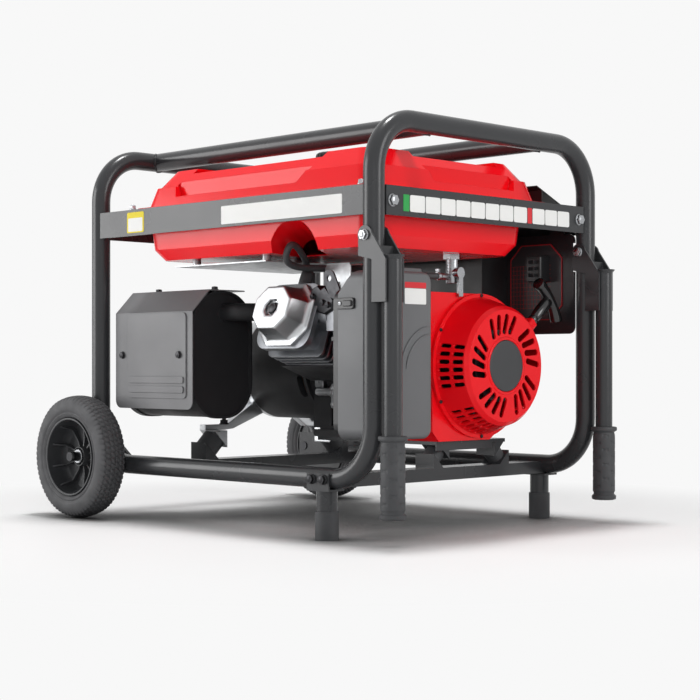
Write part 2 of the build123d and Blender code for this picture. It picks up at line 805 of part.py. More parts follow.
# Crankshaft with its throw; flywheel with fan and starter cup
throw = 32.0
fly_x0 = case_x1 + front_wall
cup_end = fly_x0 + 78
with BuildPart() as crankshaft:
    crank_ring(adapter_x0 + 6, cyl_x - 24, shaft_r)
    crank_ring(cyl_x + 24, fly_x0 - 2, shaft_r)
    crank_ring(fly_x0 - 2, cup_end + 4, 12.5)
    for x0 in (cyl_x - 46, cyl_x + 24):
        crank_ring(x0, x0 + 22, 62)
    rod((cyl_x - 24, crank_y, crank_z + throw), (1, 0, 0), 18, 48)
save(crankshaft, "crankshaft")

with BuildPart() as flywheel:
    crank_ring(fly_x0, fly_x0 + 12, flywheel_r)
    crank_ring(fly_x0 + 12, fly_x0 + 38, flywheel_r, flywheel_r - 18)
    crank_ring(fly_x0 + 12, fly_x0 + 40, 34)
    crank_ring(fly_x0 + 40, cup_end, 38)
    with BuildSketch(crank_plane(fly_x0 + 38)):
        with PolarLocations(flywheel_r - 12, blade_count):
            Rectangle(20, 4)
    extrude(amount=24)
    crank_cut(fly_x0 - 1, cup_end, 12.5)
    crank_cut(fly_x0 + 56, cup_end, 33)
save(flywheel, "flywheel")

# Bearings: two on the crankshaft, one at the alternator's outer end
end_bearing_x = end_x0 + 8
with BuildPart() as bearings:
    for x0 in (case_x1 - front_wall, cover_x0):
        crank_ring(x0, x0 + front_wall, bearing_r, shaft_r + fit)
    crank_ring(end_bearing_x, end_bearing_x + 12, 26, 12.5 + fit)
save(bearings, "bearings")

# Alternator
with BuildPart() as adapter:
    crank_ring(adapter_x0, cover_x0, shell_r, shell_r - 12)
    for i in range(8):
        angle = 22.5 + 45 * i
        window_at = ((adapter_x0 + cover_x0) / 2, *around_crank(shell_r, angle))
        radial = (0, cos(radians(angle)), sin(radians(angle)))
        with BuildSketch(Plane(origin=window_at, x_dir=(1, 0, 0), z_dir=radial)):
            RectangleRounded(16, 40, 6)
        extrude(amount=20, both=True, mode=Mode.SUBTRACT)
save(adapter, "alternator_adapter")

with BuildPart() as shell:
    crank_ring(shell_x0, adapter_x0, shell_r, shell_r - 3)
save(shell, "alternator_shell")

with BuildPart() as stator:
    crank_ring(shell_x0 + 22, adapter_x0 - 18, shell_r - 3, rotor_r + air_gap)
    crank_ring(shell_x0 + 8, shell_x0 + 22, shell_r - 10, rotor_r + 8)
    crank_ring(adapter_x0 - 18, adapter_x0 - 6, shell_r - 10, rotor_r + 8)
save(stator, "stator")

with BuildPart() as rotor:
    crank_ring(shell_x0 + 24, adapter_x0 - 20, rotor_r)
    crank_ring(adapter_x0 - 20, adapter_x0 + 6, 22)
    crank_ring(end_bearing_x - 4, shell_x0 + 24, 12.5)
    crank_ring(shell_x0 + 2, shell_x0 + 24, 24)
save(rotor, "rotor")

with BuildPart() as end_cover:
    crank_ring(shell_x0 - 12, shell_x0, shell_r, shell_r - 12)
    crank_ring(end_x0, shell_x0 - 12, shell_r - 8, shell_r - 16)
    crank_ring(end_x0, end_x0 + 8, shell_r - 8)
    crank_ring(end_x0 + 8, end_x0 + 24, 34)
    crank_cut(end_x0 + 6, end_x0 + 30, 26)
    crank_cut(end_x0, end_x0 + 30, 14)
    with BuildSketch(crank_plane(end_x0)):
        with PolarLocations(56, 12, 15):
            SlotOverall(36, 9)
    extrude(amount=8, mode=Mode.SUBTRACT)
    foot_x0 = alt_x - member_width / 2
    for s, y in ((-1, alt_mounts[0][2]), (1, alt_mounts[1][2])):
        toe = y + s * 5
        heel = y - s * 46
        outline = (
            (toe, alt_top_z),
            (toe, alt_top_z + 10),
            (heel, alt_top_z + 10),
            (crank_y + s * 54, crank_z - 62),
            (crank_y + s * 24, crank_z - 80),
            (heel - s * 14, alt_top_z + 2),
            (heel + s * 6, alt_top_z),
        )
        prism_x(foot_x0, shell_x0 - 12, outline)
    crank_cut(end_x0 + 8, shell_x0 - 12, shell_r - 16)
    crank_ring(end_x0 + 8, end_x0 + 24, 34, 26)
    for mount in alt_mounts:
        upper_wedge(*mount)
save(end_cover, "alternator_end_cover")

# Muffler: a pressed body with rimmed ends, and the pipe from the head
muffler_x0 = mid + muffler_x - muffler_length / 2
muffler_x1 = mid + muffler_x + muffler_length / 2
pipe_face = cyl_x - head_side
pipe_y = muffler_y + 10
pipe_z = exhaust_at[2]
with BuildPart() as muffler:
    with BuildSketch(Plane.YZ.offset(muffler_x0 + 8)):
        with Locations((muffler_y, muffler_z)):
            RectangleRounded(muffler_depth, muffler_height, muffler_round)
    extrude(amount=muffler_length - 16)
    for x0 in (muffler_x0, muffler_x1 - 12):
        with BuildSketch(Plane.YZ.offset(x0)):
            with Locations((muffler_y, muffler_z)):
                RectangleRounded(muffler_depth + 4, muffler_height + 4, muffler_round + 2)
        extrude(amount=12)
    for x0, dish in ((muffler_x0, 12), (muffler_x1, -5)):
        with BuildSketch(Plane.YZ.offset(x0)):
            with Locations((muffler_y, muffler_z)):
                RectangleRounded(muffler_depth - 4, muffler_height - 4, muffler_round - 2)
        extrude(amount=dish, mode=Mode.SUBTRACT)
    with BuildSketch(Plane.YZ.offset(muffler_x0 + 14)):
        with Locations((muffler_y, muffler_z)):
            RectangleRounded(muffler_depth - 6, muffler_height - 6, muffler_round - 3)
    extrude(amount=muffler_length - 28, mode=Mode.SUBTRACT)
    with BuildLine() as route:
        FilletPolyline(
            (muffler_x1 - 10, pipe_y, pipe_z),
            (muffler_x1 + 20, pipe_y, pipe_z),
            (pipe_face - 36, exhaust_at[1], pipe_z),
            (pipe_face - 4, exhaust_at[1], pipe_z),
            radius=20,
        )
    with BuildSketch(Plane(origin=route.line @ 0, z_dir=route.line % 0)):
        Circle(pipe_d / 2)
    sweep()
    with BuildSketch(Plane.YZ.offset(pipe_face - 8)):
        with Locations((exhaust_at[1], pipe_z)):
            SlotOverall(72, 42)
    extrude(amount=8)
save(muffler, "muffler")

# Muffler heat shield: front plate, sloping plate and top plate, bent from one sheet
shield_y = muffler_y - muffler_depth / 2 - 7
shield_t = 1.6
shield_low = muffler_z - muffler_height / 2 + 14
shield_knee = muffler_z + muffler_height / 2 - 33
shield_top = muffler_z + muffler_height / 2 + 4
shield_back = shield_y + 122
relief_x0 = muffler_x0 + 28
relief_x1 = muffler_x1 - 9
relief_t = 2.2
with BuildPart() as shield:
    outline = (
        (shield_y, shield_low),
        (shield_y, shield_knee),
        (shield_y + 37, shield_top),
        (shield_back, shield_top),
        (shield_back, shield_top - shield_t),
        (shield_y + 37.7, shield_top - shield_t),
        (shield_y + shield_t, shield_knee - 0.6),
        (shield_y + shield_t, shield_low),
    )
    prism_x(muffler_x0 - 8, muffler_x1 + 6, outline)
    fillet(shield.edges().filter_by(Axis.Y).sort_by(Axis.Z)[:2], 14)
    fillet(shield.edges().filter_by(Axis.Z).sort_by(Axis.Y)[-2:], 14)
    for x in (muffler_x0 + 30, muffler_x1 - 30):
        for z in (muffler_z - 50, muffler_z + 30):
            spacer = muffler_y - muffler_depth / 2 - shield_y - shield_t
            rod((x, shield_y + shield_t, z), (0, 1, 0), 5, spacer)
    for x in (muffler_x0 + 40, muffler_x1 - 40):
        foot_z = muffler_z + muffler_height / 2
        rod((x, muffler_y, foot_z), (0, 0, 1), 5, shield_top - shield_t - foot_z)
    relief_mid = (relief_x0 + relief_x1) / 2
    relief_z0 = shield_low + 18
    with BuildSketch(Plane.XZ.offset(-shield_y)):
        with Locations((relief_mid, (relief_z0 + shield_knee - 2) / 2)):
            RectangleRounded(relief_x1 - relief_x0, shield_knee - 2 - relief_z0, 8)
    extrude(amount=relief_t)
    with BuildSketch(Plane.XZ.offset(-shield_y + relief_t)):
        with Locations((relief_mid, relief_z0 + 15), (relief_mid, relief_z0 + 31)):
            RectangleRounded(relief_x1 - relief_x0 - 10, 11, 4)
    extrude(amount=relief_t)
save(shield, "muffler_shield")

# Carburettor with its insulator and float bowl
carb_x0 = cyl_x + head_side
carb_x1 = carb_x0 + 62
intake_y, intake_z = intake_at[1:]
choke_x = carb_x1 - 16
with BuildPart() as carb:
    rod((carb_x0, intake_y, intake_z), (1, 0, 0), 24, 12)
    block(carb_x0 + 12, carb_x1, intake_y - 22, intake_y + 22, intake_z - 24, intake_z + 24)
    rod((carb_x0 + 37, intake_y, intake_z - 60), (0, 0, 1), 23, 40)
    rod((carb_x0 + 37, intake_y + 8, intake_z + 20), (0, 0, 1), 5, 16)
    rod((choke_x, intake_y - 22, intake_z + 8), (0, -1, 0), 8, 2)
save(carb, "carburettor")

with BuildPart() as choke:
    choke_y = intake_y - 24 - gap
    rod((choke_x, choke_y, intake_z + 8), (0, -1, 0), 9, 4)
    block(choke_x - 4, choke_x + 4, choke_y - 4, choke_y, intake_z - 34, intake_z + 8)
    block(choke_x - 6, choke_x + 6, choke_y - 14, choke_y, intake_z - 40, intake_z - 34)
save(choke, "choke_lever")

# Air cleaner: base with a duct to the carburettor, filter element and deep cover
air_x1 = mid + air_box_x
air_x0 = air_x1 - air_box_depth
with BuildPart() as air_base:
    with BuildSketch(Plane.YZ.offset(air_x0 - 12)):
        with Locations((air_box_y, air_box_z - 12)):
            RectangleRounded(air_box_width - 4, air_box_height - 28, 22)
    extrude(amount=12)
    rod((carb_x1, intake_y, intake_z), (1, 0, 0), 25, air_x0 - 12 - carb_x1)
save(air_base, "air_cleaner_base")

with BuildPart() as air_cover:
    with BuildSketch(Plane.YZ.offset(air_x0)):
        with Locations((air_box_y, air_box_z)):
            RectangleRounded(air_box_width, air_box_height, 16)
    extrude(amount=air_box_depth)
    fillet(air_cover.faces().sort_by(Axis.X)[-1].edges(), 7)
    slant = (
        (air_x0 - 1, air_box_z + air_box_height / 2 - 36),
        (air_x0 - 1, air_box_z + air_box_height / 2 + 9),
        (air_x0 + 40, air_box_z + air_box_height / 2 + 9),
    )
    prism_y(air_box_y - air_box_width, air_box_y + air_box_width, slant, Mode.SUBTRACT)
    with BuildSketch(Plane.YZ.offset(air_x0)):
        with Locations((air_box_y, air_box_z - 14)):
            RectangleRounded(air_box_width - 8, air_box_height - 64, 22)
    extrude(amount=air_box_depth - 10, mode=Mode.SUBTRACT)
save(air_cover, "air_cleaner_cover")

with BuildPart() as element:
    with BuildSketch(Plane.YZ.offset(air_x0)):
        with Locations((air_box_y, air_box_z - 14)):
            RectangleRounded(air_box_width - 24, air_box_height - 90, 20)
    extrude(amount=air_box_depth - 24)
save(element, "air_filter_element")

# Fuel tank halves, the bowl set in on its right side
tank_x0 = mid + tank_x - tank_length / 2
tank_x1 = tank_x0 + tank_length
tank_xc = mid + tank_x
notch_x = mid + 137.0


def tank_level(z, inset, ledge=0.0):
    """Rounded outline of the tank at one height, its right side drawn in by the ledge."""
    with BuildSketch(Plane.XY.offset(z)) as level:
        with Locations((tank_xc, tank_y - ledge / 2)):
            RectangleRounded(tank_length - 2 * inset, tank_width - ledge - 2 * inset, tank_round)
    return level.sketch


def lower_form(inset, top):
    """Tank bowl below the flange, with the recess over the plug lead."""
    with BuildPart() as bowl:
        knee = tank_level(tank_bottom_z + 18, 7 + inset, tank_ledge)
        loft([tank_level(tank_bottom_z + inset, 20 + inset, tank_ledge), knee])
        loft([knee, tank_level(top, inset, tank_ledge)])
        recess_z = tank_bottom_z - 8
        with BuildSketch(Plane(origin=(notch_x, tank_y0 - 1, recess_z), z_dir=(0, 1, 0))):
            Circle(57 + inset)
        with BuildSketch(Plane(origin=(notch_x - 70, tank_y0 + 116, recess_z), z_dir=(0, 1, 0))):
            Circle(35 + inset)
        loft(mode=Mode.SUBTRACT)
    return bowl.part


def upper_form(inset, bottom):
    """Tank top above the flange: a shoulder and a raised crown with a waist."""
    shoulder = (shelf_top_z + tank_top_z) / 2 + 4
    with BuildPart() as crown:
        loft([tank_level(bottom, inset), tank_level(shoulder - inset, 10 + inset)])
        crown_foot = tank_level(shoulder - inset, 14 + inset)
        loft([crown_foot, tank_level(tank_top_z - inset, 34 + inset)])
        over = tank_top_z + 20
        low = shoulder - 18 - inset
        dish_z = tank_top_z - tank_dish - inset
        waist = (
            (tank_xc - 128 - inset, over),
            (tank_xc - 197 - inset, shoulder + 3 - inset),
            (tank_xc - 190 - inset, low),
            (tank_xc + 105 + inset, low),
            (tank_xc + 168 + inset, over),
        )
        prism_y(tank_y0 - 20, tank_y0 + 19 + inset, waist, Mode.SUBTRACT)
        end_waist = (
            (tank_y - 92 - inset, over),
            (tank_y - 54 - inset, low),
            (tank_y + 138 + inset, low),
            (tank_y + 144 + inset, shoulder - inset),
            (tank_y + 109 + inset, over),
        )
        prism_x(tank_x1 - 19 - inset, tank_x1 + 20, end_waist, Mode.SUBTRACT)
        dish = (
            (tank_xc - 148 - inset, over),
            (tank_xc - 172 - inset, dish_z),
            (tank_xc + 140 + inset, dish_z),
            (tank_xc + 164 + inset, over),
        )
        prism_y(tank_y0 - 20, tank_y + 124 + inset, dish, Mode.SUBTRACT)
        end_dish = (
            (tank_y - 90 - inset, over),
            (tank_y - 78 - inset, dish_z),
            (tank_y + 124 + inset, dish_z),
            (tank_y + 112 + inset, over),
        )
        prism_x(tank_xc, tank_x1 + 20, end_dish, Mode.SUBTRACT)
    return crown.part


flange_z = shelf_top_z
flange_mid = flange_z + tank_wall
bowl_outside = lower_form(0, flange_mid)
bowl_inside = lower_form(tank_wall, flange_mid)
with BuildPart() as tank_lower:
    add(bowl_outside)
    extrude(tank_level(flange_z, -tank_flange), amount=tank_wall)
    add(bowl_inside, mode=Mode.SUBTRACT)
    lug_x = tank_x0 - 34
    block(lug_x, tank_x0 + 60, tank_y0 - tank_flange, tank_y0 - tank_wall, flange_z, flange_mid)
save(tank_lower, "tank_lower")

neck_top = tank_top_z + 12
crown_outside = upper_form(0, flange_mid)
crown_inside = upper_form(tank_wall, flange_mid)
with BuildPart() as tank_upper:
    add(crown_outside)
    extrude(tank_level(flange_mid, -tank_flange), amount=tank_wall)
    add(crown_inside, mode=Mode.SUBTRACT)
    neck_low = tank_top_z - tank_dish - tank_wall
    rod((mid + filler_x, filler_y, neck_low), (0, 0, 1), neck_r, neck_top - neck_low)
    rod((mid + filler_x, filler_y, neck_low - 9), (0, 0, 1), neck_r - 3, 40, Mode.SUBTRACT)
save(tank_upper, "tank_upper")

gasket_t = 2.0
with BuildPart() as gasket:
    rod((mid + filler_x, filler_y, neck_top), (0, 0, 1), neck_r, gasket_t)
    rod((mid + filler_x, filler_y, neck_top), (0, 0, 1), neck_r - 5, gasket_t, Mode.SUBTRACT)
save(gasket, "cap_gasket")

with BuildPart() as fuel_cap:
    rod((mid + filler_x, filler_y, tank_top_z + 2), (0, 0, 1), cap_r, 23)
    cavity = neck_top + gasket_t - tank_top_z
    rod((mid + filler_x, filler_y, tank_top_z), (0, 0, 1), neck_r + gap, cavity, Mode.SUBTRACT)
    fillet(fuel_cap.faces().sort_by(Axis.Z)[-1].edges(), 4)
save(fuel_cap, "fuel_cap")

# Heat shield that hangs under the tank on stand-offs
with BuildPart() as heat_shield:
    hs_x0 = mid - 190
    hs_x1 = mid + 40
    hs_y0 = tank_y0 + 34
    hs_y1 = tank_y1 - tank_ledge - 60
    hs_z = tank_bottom_z - 11
    block(hs_x0, hs_x1, hs_y0, hs_y1, hs_z, hs_z + 2)
    for x in (hs_x0 + 34, hs_x1 - 20):
        for y in (hs_y0 + 20, hs_y1 - 20):
            rod((x, y, hs_z + 2), (0, 0, 1), 7, tank_bottom_z - hs_z - 2)
save(heat_shield, "tank_heat_shield")

# Fuel valve under the tank, its lever and the hose to the carburettor
valve_x = mid + 250.0
valve_y = 10.0
valve_low = tank_bottom_z - 46
hose_z = tank_bottom_z - 36
hose_x = carb_x0 + 37
hose_y = intake_y + 8
with BuildPart() as valve:
    hex_head((valve_x, valve_y, tank_bottom_z), (0, 0, -1), 26, 8)
    rod((valve_x, valve_y, valve_low), (0, 0, 1), 10, tank_bottom_z - 8 - valve_low)
    rod((valve_x, valve_y, hose_z), (0, -1, 0), 5, 28)
    rod((valve_x, valve_y, hose_z + 6), (1, 0, 0), 8, 14)
save(valve, "fuel_valve_body")

with BuildPart() as valve_lever:
    lever_x = valve_x + 14 + gap
    rod((lever_x, valve_y, hose_z + 6), (1, 0, 0), 9, 5)
    block(lever_x, lever_x + 5, valve_y - 5, valve_y + 5, hose_z - 32, hose_z + 6)
save(valve_lever, "fuel_valve_lever")

with BuildPart() as hose:
    with BuildLine() as route:
        FilletPolyline(
            (valve_x, valve_y - 28, hose_z),
            (valve_x, valve_y - 70, hose_z),
            (hose_x, valve_y - 70, hose_z),
            (hose_x, hose_y, hose_z),
            (hose_x, hose_y, intake_z + 36),
            radius=18,
        )
    with BuildSketch(Plane(origin=route.line @ 0, z_dir=route.line % 0)):
        Circle(5)
    sweep()
save(hose, "fuel_hose")

# Ignition lead: plug cap, and the lead to the coil under the fan cover
with BuildPart() as lead:
    cap_at = on_cylinder(head_start + plug_along, 56.5, plug_x)
    rod(cap_at, (0, sin(tilt), cos(tilt)), 11, 38)
    rod(cap_at, (0, sin(tilt), cos(tilt)), 6.5 + gap, 17, Mode.SUBTRACT)
    lead_end = (case_x1 + 30, crank_y - 88, crank_z + fan_r)
    lead_z = lead_end[2] + 42
    lead_x = plug_x + 24
    with BuildLine() as route:
        FilletPolyline(
            on_cylinder(head_start + plug_along, 80, plug_x),
            on_cylinder(head_start + plug_along, 97, plug_x),
            (notch_x - 36, tank_y0 + 34, lead_z + 38),
            (lead_x, tank_y0 + 47, lead_z),
            (lead_x, tank_y0 + 142, lead_z),
            (lead_end[0], lead_end[1], lead_z),
            lead_end,
            radius=11,
        )
    with BuildSketch(Plane(origin=route.line @ 0, z_dir=route.line % 0)):
        Circle(lead_r)
    sweep()
save(lead, "ignition_lead")

# Control panel: housing with the hood over it, fascia, sockets and meter, switch and breaker
panel_x0 = mid + panel_x - panel_length / 2
panel_x1 = mid + panel_x + panel_length / 2
box_x1 = panel_x0 + 20 + panel_box_length
panel_top_z = panel_bottom_z + panel_height
with BuildPart() as panel_housing:
    block(panel_x0 + 20, box_x1, panel_y - panel_box_depth, panel_y, panel_bottom_z + 8, panel_top_z)
    block(
        panel_x0 + 22, box_x1 - 2, panel_y - panel_box_depth + 2, panel_y,
        panel_bottom_z + 10, panel_top_z - 2, Mode.SUBTRACT,
    )
    hood_low = inner_bar_y + 9
    hood_rise = 26.0
    hood = (
        (bar_face - 4, shelf_top_z),
        (bar_face - 4, shelf_top_z + 2),
        (bar_inner + 2, shelf_top_z + 2),
        (hood_low - 13, shelf_top_z + 2 + hood_rise + 5.5),
        (hood_low - 13.5, shelf_top_z + hood_rise + 5.5),
        (hood_low, shelf_top_z + hood_rise + 0.5),
        (hood_low, shelf_top_z),
        (hood_low + 2, shelf_top_z),
        (hood_low + 2, shelf_top_z + hood_rise - 0.2),
        (bar_inner + 1, shelf_top_z),
    )
    prism_x(panel_x0 + 20, mid + 300, hood)
save(panel_housing, "panel_housing")

fascia_t = 3.0
fascia_y = panel_y + fascia_t
voltmeter_at = (panel_x1 - 217, panel_top_z - 52)
socket_spots = [(panel_x0 + 70 + 92 * i, panel_top_z - 56) for i in range(3)]
twist_spot = (panel_x0 + 90, panel_bottom_z + 52)
switch_at = (panel_x1 - 67, panel_top_z - 56)
breaker_at = (panel_x1 - 217, panel_bottom_z + 52)
with BuildPart() as fascia:
    with BuildSketch(Plane.XZ.offset(-fascia_y)):
        with Locations((mid + panel_x, panel_bottom_z + panel_height / 2)):
            RectangleRounded(panel_length, panel_height, 12)
    extrude(amount=fascia_t)
    notch_edge = handle_post_x - 14.5
    block(notch_edge, panel_x1, panel_y, fascia_y, pivot_z - 32, pivot_z + 16, Mode.SUBTRACT)
    for x, z in ((panel_x0 + 30, panel_top_z), (panel_x1 - 37, panel_top_z)):
        block(x - 15, x + 15, panel_y, fascia_y, z - 2, shelf_z + 12)
        block(x - 15, x + 15, panel_y, bar_face - sheet, shelf_z + 9, shelf_z + 12)
    with BuildSketch(Plane.XZ.offset(-fascia_y)):
        with Locations(voltmeter_at):
            Circle(24)
        with Locations(switch_at):
            Rectangle(28, 42)
        with Locations(breaker_at):
            Rectangle(24, 40)
        with Locations(*socket_spots):
            RectangleRounded(34, 68, 4)
        with Locations(twist_spot):
            Circle(27)
    extrude(amount=fascia_t, mode=Mode.SUBTRACT)
save(fascia, "panel_fascia")

with BuildPart() as sockets:
    with BuildSketch(Plane.XZ.offset(-(fascia_y + 4))):
        with Locations(*socket_spots):
            RectangleRounded(33.4, 67.4, 3.7)
        with Locations(twist_spot):
            Circle(26.7)
        with Locations(voltmeter_at):
            Circle(23.7)
    extrude(amount=30)
    with BuildSketch(Plane.XZ.offset(-(fascia_y + 4))):
        for x, z in socket_spots:
            for dz in (-17, 17):
                with Locations((x - 6, z + dz), (x + 6, z + dz)):
                    Rectangle(2, 8)
                with Locations((x, z + dz - 9)):
                    Circle(2.6)
        with Locations(twist_spot):
            with PolarLocations(14, 4):
                SlotOverall(10, 2.4, rotation=90)
    extrude(amount=16, mode=Mode.SUBTRACT)
    with BuildSketch(Plane.XZ.offset(-(fascia_y + 3))):
        with Locations(switch_at):
            Rectangle(27.4, 41.4)
            Rectangle(20, 32, mode=Mode.SUBTRACT)
        with Locations(breaker_at):
            Rectangle(23.4, 39.4)
            Rectangle(12, 28, mode=Mode.SUBTRACT)
    extrude(amount=26)
save(sockets, "panel_sockets")

with BuildPart() as engine_switch:
    rod((switch_at[0] - 9.5, fascia_y - 6, switch_at[1]), (1, 0, 0), 7, 19)
    outline = (
        (fascia_y - 4, switch_at[1] - 14),
        (fascia_y + 8, switch_at[1] - 14),
        (fascia_y + 3, switch_at[1]),
        (fascia_y + 8, switch_at[1] + 14),
        (fascia_y - 4, switch_at[1] + 14),
    )
    pivot = (fascia_y - 6, switch_at[1])
    prism_x(switch_at[0] - 9.5, switch_at[0] + 9.5, leaned(outline, pivot, -switch_lean))
save(engine_switch, "engine_switch")

with BuildPart() as breaker:
    rod((breaker_at[0] - 5.5, fascia_y - 6, breaker_at[1]), (1, 0, 0), 7, 11)
    outline = (
        (fascia_y - 6, breaker_at[1] - 6),
        (fascia_y + 16, breaker_at[1] - 4),
        (fascia_y + 16, breaker_at[1] + 4),
        (fascia_y - 6, breaker_at[1] + 6),
    )
    pivot = (fascia_y - 6, breaker_at[1])
    prism_x(breaker_at[0] - 5.5, breaker_at[0] + 5.5, leaned(outline, pivot, -breaker_lean))
save(breaker, "breaker_lever")

# Fasteners, each a separate solid
with BuildPart() as fasteners:
    for side in (-1, 1):
        shank = plate_out + 4
        rod((handle_post_x, side * half_w - shank, pivot_z), (0, 1, 0), pivot_d / 2, 2 * shank)
        for way in (-1, 1):
            hex_head((handle_post_x, side * half_w + way * (plate_out + gap), pivot_z), (0, way, 0), 17, 7)
        for end, x in ((-1, wheel_post_x), (1, handle_post_x)):
            hex_head((x + end * 9, side * (half_w - 30), shelf_z + 22), (end, 0, 0), 16, 7)
        for dx in (-13, 12):
            hex_head((foot + dx, side * (half_w + tube_r + sheet), rail_z - 1), (0, side, 0), 13, 8)
        washer_y = side * (hub_out + gap)
        rod((axle_x, washer_y, axle_z), (0, side, 0), axle_r + 4, 2)
        rod((axle_x, washer_y, axle_z), (0, side, 0), axle_r, 2, Mode.SUBTRACT)
    for x, y in (
        (tank_x1 - 12, tank_y0 - 7),
        (tank_x0 + 60, tank_y1 + 8),
        (tank_x1 - 70, tank_y1 + 8),
    ):
        hex_head((x, y, flange_z + 2 * tank_wall), (0, 0, 1), 10, 8)
    hex_head((lug_x + 15, tank_y0 - 7.5, flange_mid), (0, 0, 1), 10, 12)
    rocker_face = cylinder_plane(rocker_start + rocker_length - 8)
    hex_head(rocker_face.origin, rocker_face.z_dir, 20, 6)
    for i in range(6):
        y, z = around_crank(fan_r - 3, 30 + 60 * i)
        rod((fan_x1 + 6, y, z), (1, 0, 0), 2.6, 3)
    for i in range(4):
        y, z = around_crank(shell_r - 4, 90 * i)
        hex_head((shell_x0 - 12, y, z), (-1, 0, 0), 6.8, 6)
    for x, bolt_y in ((muffler_x0 + 12, shield_y), (muffler_x1 - 26, shield_y - relief_t)):
        hex_head((x, bolt_y, muffler_z), (0, -1, 0), 10, 5)
    for x in (muffler_x0 + 36, muffler_x1 - 8):
        hex_head((x, shield_y + 60, shield_top), (0, 0, 1), 10, 6)
    for mount in alt_mounts:
        hex_head((alt_x, mount[2] - 34 * mount[1], alt_top_z + 10), (0, 0, 1), 14, 12)
    crank_ring(rope_x - 18, rope_x - 14, 13)
save(fasteners, "fasteners")
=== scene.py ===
"""Open-frame portable generator: finishes, detailed pieces, stage and camera.

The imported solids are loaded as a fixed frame. Each operator dresses one piece or a group
of like pieces. Lengths in the helpers are in millimetres and are turned to metres when a
mesh is made.
"""

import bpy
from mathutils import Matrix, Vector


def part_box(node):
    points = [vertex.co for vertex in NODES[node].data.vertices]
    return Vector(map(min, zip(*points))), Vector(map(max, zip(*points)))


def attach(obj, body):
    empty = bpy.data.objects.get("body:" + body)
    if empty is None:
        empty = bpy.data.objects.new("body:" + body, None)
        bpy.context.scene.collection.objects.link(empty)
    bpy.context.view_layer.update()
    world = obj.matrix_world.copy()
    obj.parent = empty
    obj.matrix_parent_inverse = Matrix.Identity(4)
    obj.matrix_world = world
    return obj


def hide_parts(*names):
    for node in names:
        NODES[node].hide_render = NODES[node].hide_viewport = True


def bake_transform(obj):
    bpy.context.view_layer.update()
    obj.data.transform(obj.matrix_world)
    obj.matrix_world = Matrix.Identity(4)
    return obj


bl_info = {
    "name": "Open-frame Portable Generator",
    "version": (1, 0, 0),
    "blender": (4, 5, 0),
    "location": "View3D > Sidebar > Generator",
    "description": "Dresses the generator's solids with finishes and detailed pieces",
    "category": "Object",
}

from math import atan2, cos, hypot, pi, radians, sin, sqrt, tan

import bmesh
import bpy
from mathutils import Matrix, Vector

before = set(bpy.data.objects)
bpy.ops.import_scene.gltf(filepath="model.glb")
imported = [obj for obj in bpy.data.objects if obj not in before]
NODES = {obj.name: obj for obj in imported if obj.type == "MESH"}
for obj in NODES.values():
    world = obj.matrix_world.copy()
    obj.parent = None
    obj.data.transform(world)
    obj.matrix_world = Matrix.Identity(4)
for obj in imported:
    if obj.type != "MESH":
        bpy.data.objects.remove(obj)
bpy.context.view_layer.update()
MM = 0.001
CRANK = (0.0, 60.0, 261.0)  # on the crank axis
ALTERNATOR_X = -189.25  # middle of the alternator's feet
MOUNT_FOOT = 157.5  # height of their tops
ROPE_ANGLE = 38.0  # of the starter rope's outlet above the panel side
ROPE_OUTLET = 117.0  # from the crank axis to the outlet's end
PULL_BAR = 178.0  # from the crank axis to the pull handle's bar
CYLINDER_LEAN = radians(20)  # of the cylinder above the level
CYLINDER_OUT = Vector((0, -cos(CYLINDER_LEAN), sin(CYLINDER_LEAN)))
# Tyre wall from the bead outwards: inset from the tyre's side, rise above the bead
TYRE_WALL = ((6.5, 0), (4.0, 1.5), (2.4, 4), (1.2, 7), (2.2, 8.4), (2.2, 10), (0.8, 11.4), (0, 15),
             (0.2, 20), (1.2, 25), (2.2, 28), (3.4, 31), (5.0, 33.6))
TYRE_BEAD = 67.0  # radius
LANE_WIDTH = 8.5  # of a row of tread blocks
SHOULDER = 11.0  # how far in from the tread the shoulder's notches reach


def span(node):
    """Lowest and highest corner of a solid, in millimetres."""
    low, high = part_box(node)
    return low / MM, high / MM


def middle(node):
    """Middle of a solid's box, in millimetres."""
    low, high = span(node)
    return (low + high) / 2


def linear(code):
    """Linear colour with alpha from an sRGB hex code."""
    channels = [int(code[i : i + 2], 16) / 255 for i in (1, 3, 5)]
    return [c / 12.92 if c <= 0.04045 else ((c + 0.055) / 1.055) ** 2.4 for c in channels] + [1.0]


def colour_setting(name, description, code):
    """Colour that a user may change."""
    return bpy.props.FloatVectorProperty(
        name=name, description=description, subtype="COLOR", size=4, min=0, max=1, default=linear(code)
    )


def length_setting(name, description, millimetres):
    """Length that a user may change."""
    return bpy.props.FloatProperty(
        name=name, description=description, unit="LENGTH", default=millimetres * MM
    )


class GeneratorColours(bpy.types.PropertyGroup):
    """Colours of the main finishes."""

    frame_grey: colour_setting("Frame grey", "Powder coat on the tube frame", "#333436")
    tank_red: colour_setting("Red", "Enamel on the tank and the blower housing", "#ee0e1a")
    black: colour_setting("Black", "Stove paint on the muffler and alternator", "#252527")
    shield_grey: colour_setting("Shield grey", "Stove paint on the muffler shield", "#6a6a6c")
    cover_grey: colour_setting("Cover grey", "Moulded air cleaner cover", "#626365")
    alloy: colour_setting("Alloy", "Cast aluminium of the engine", "#94969a")
    rubber: colour_setting("Rubber", "Grips and foot caps", "#3d3e40")
    tyre: colour_setting("Tyre", "Tyre rubber", "#464648")
    plate: colour_setting("Blank plate", "Bare film plates on the bars", "#eeeeec")


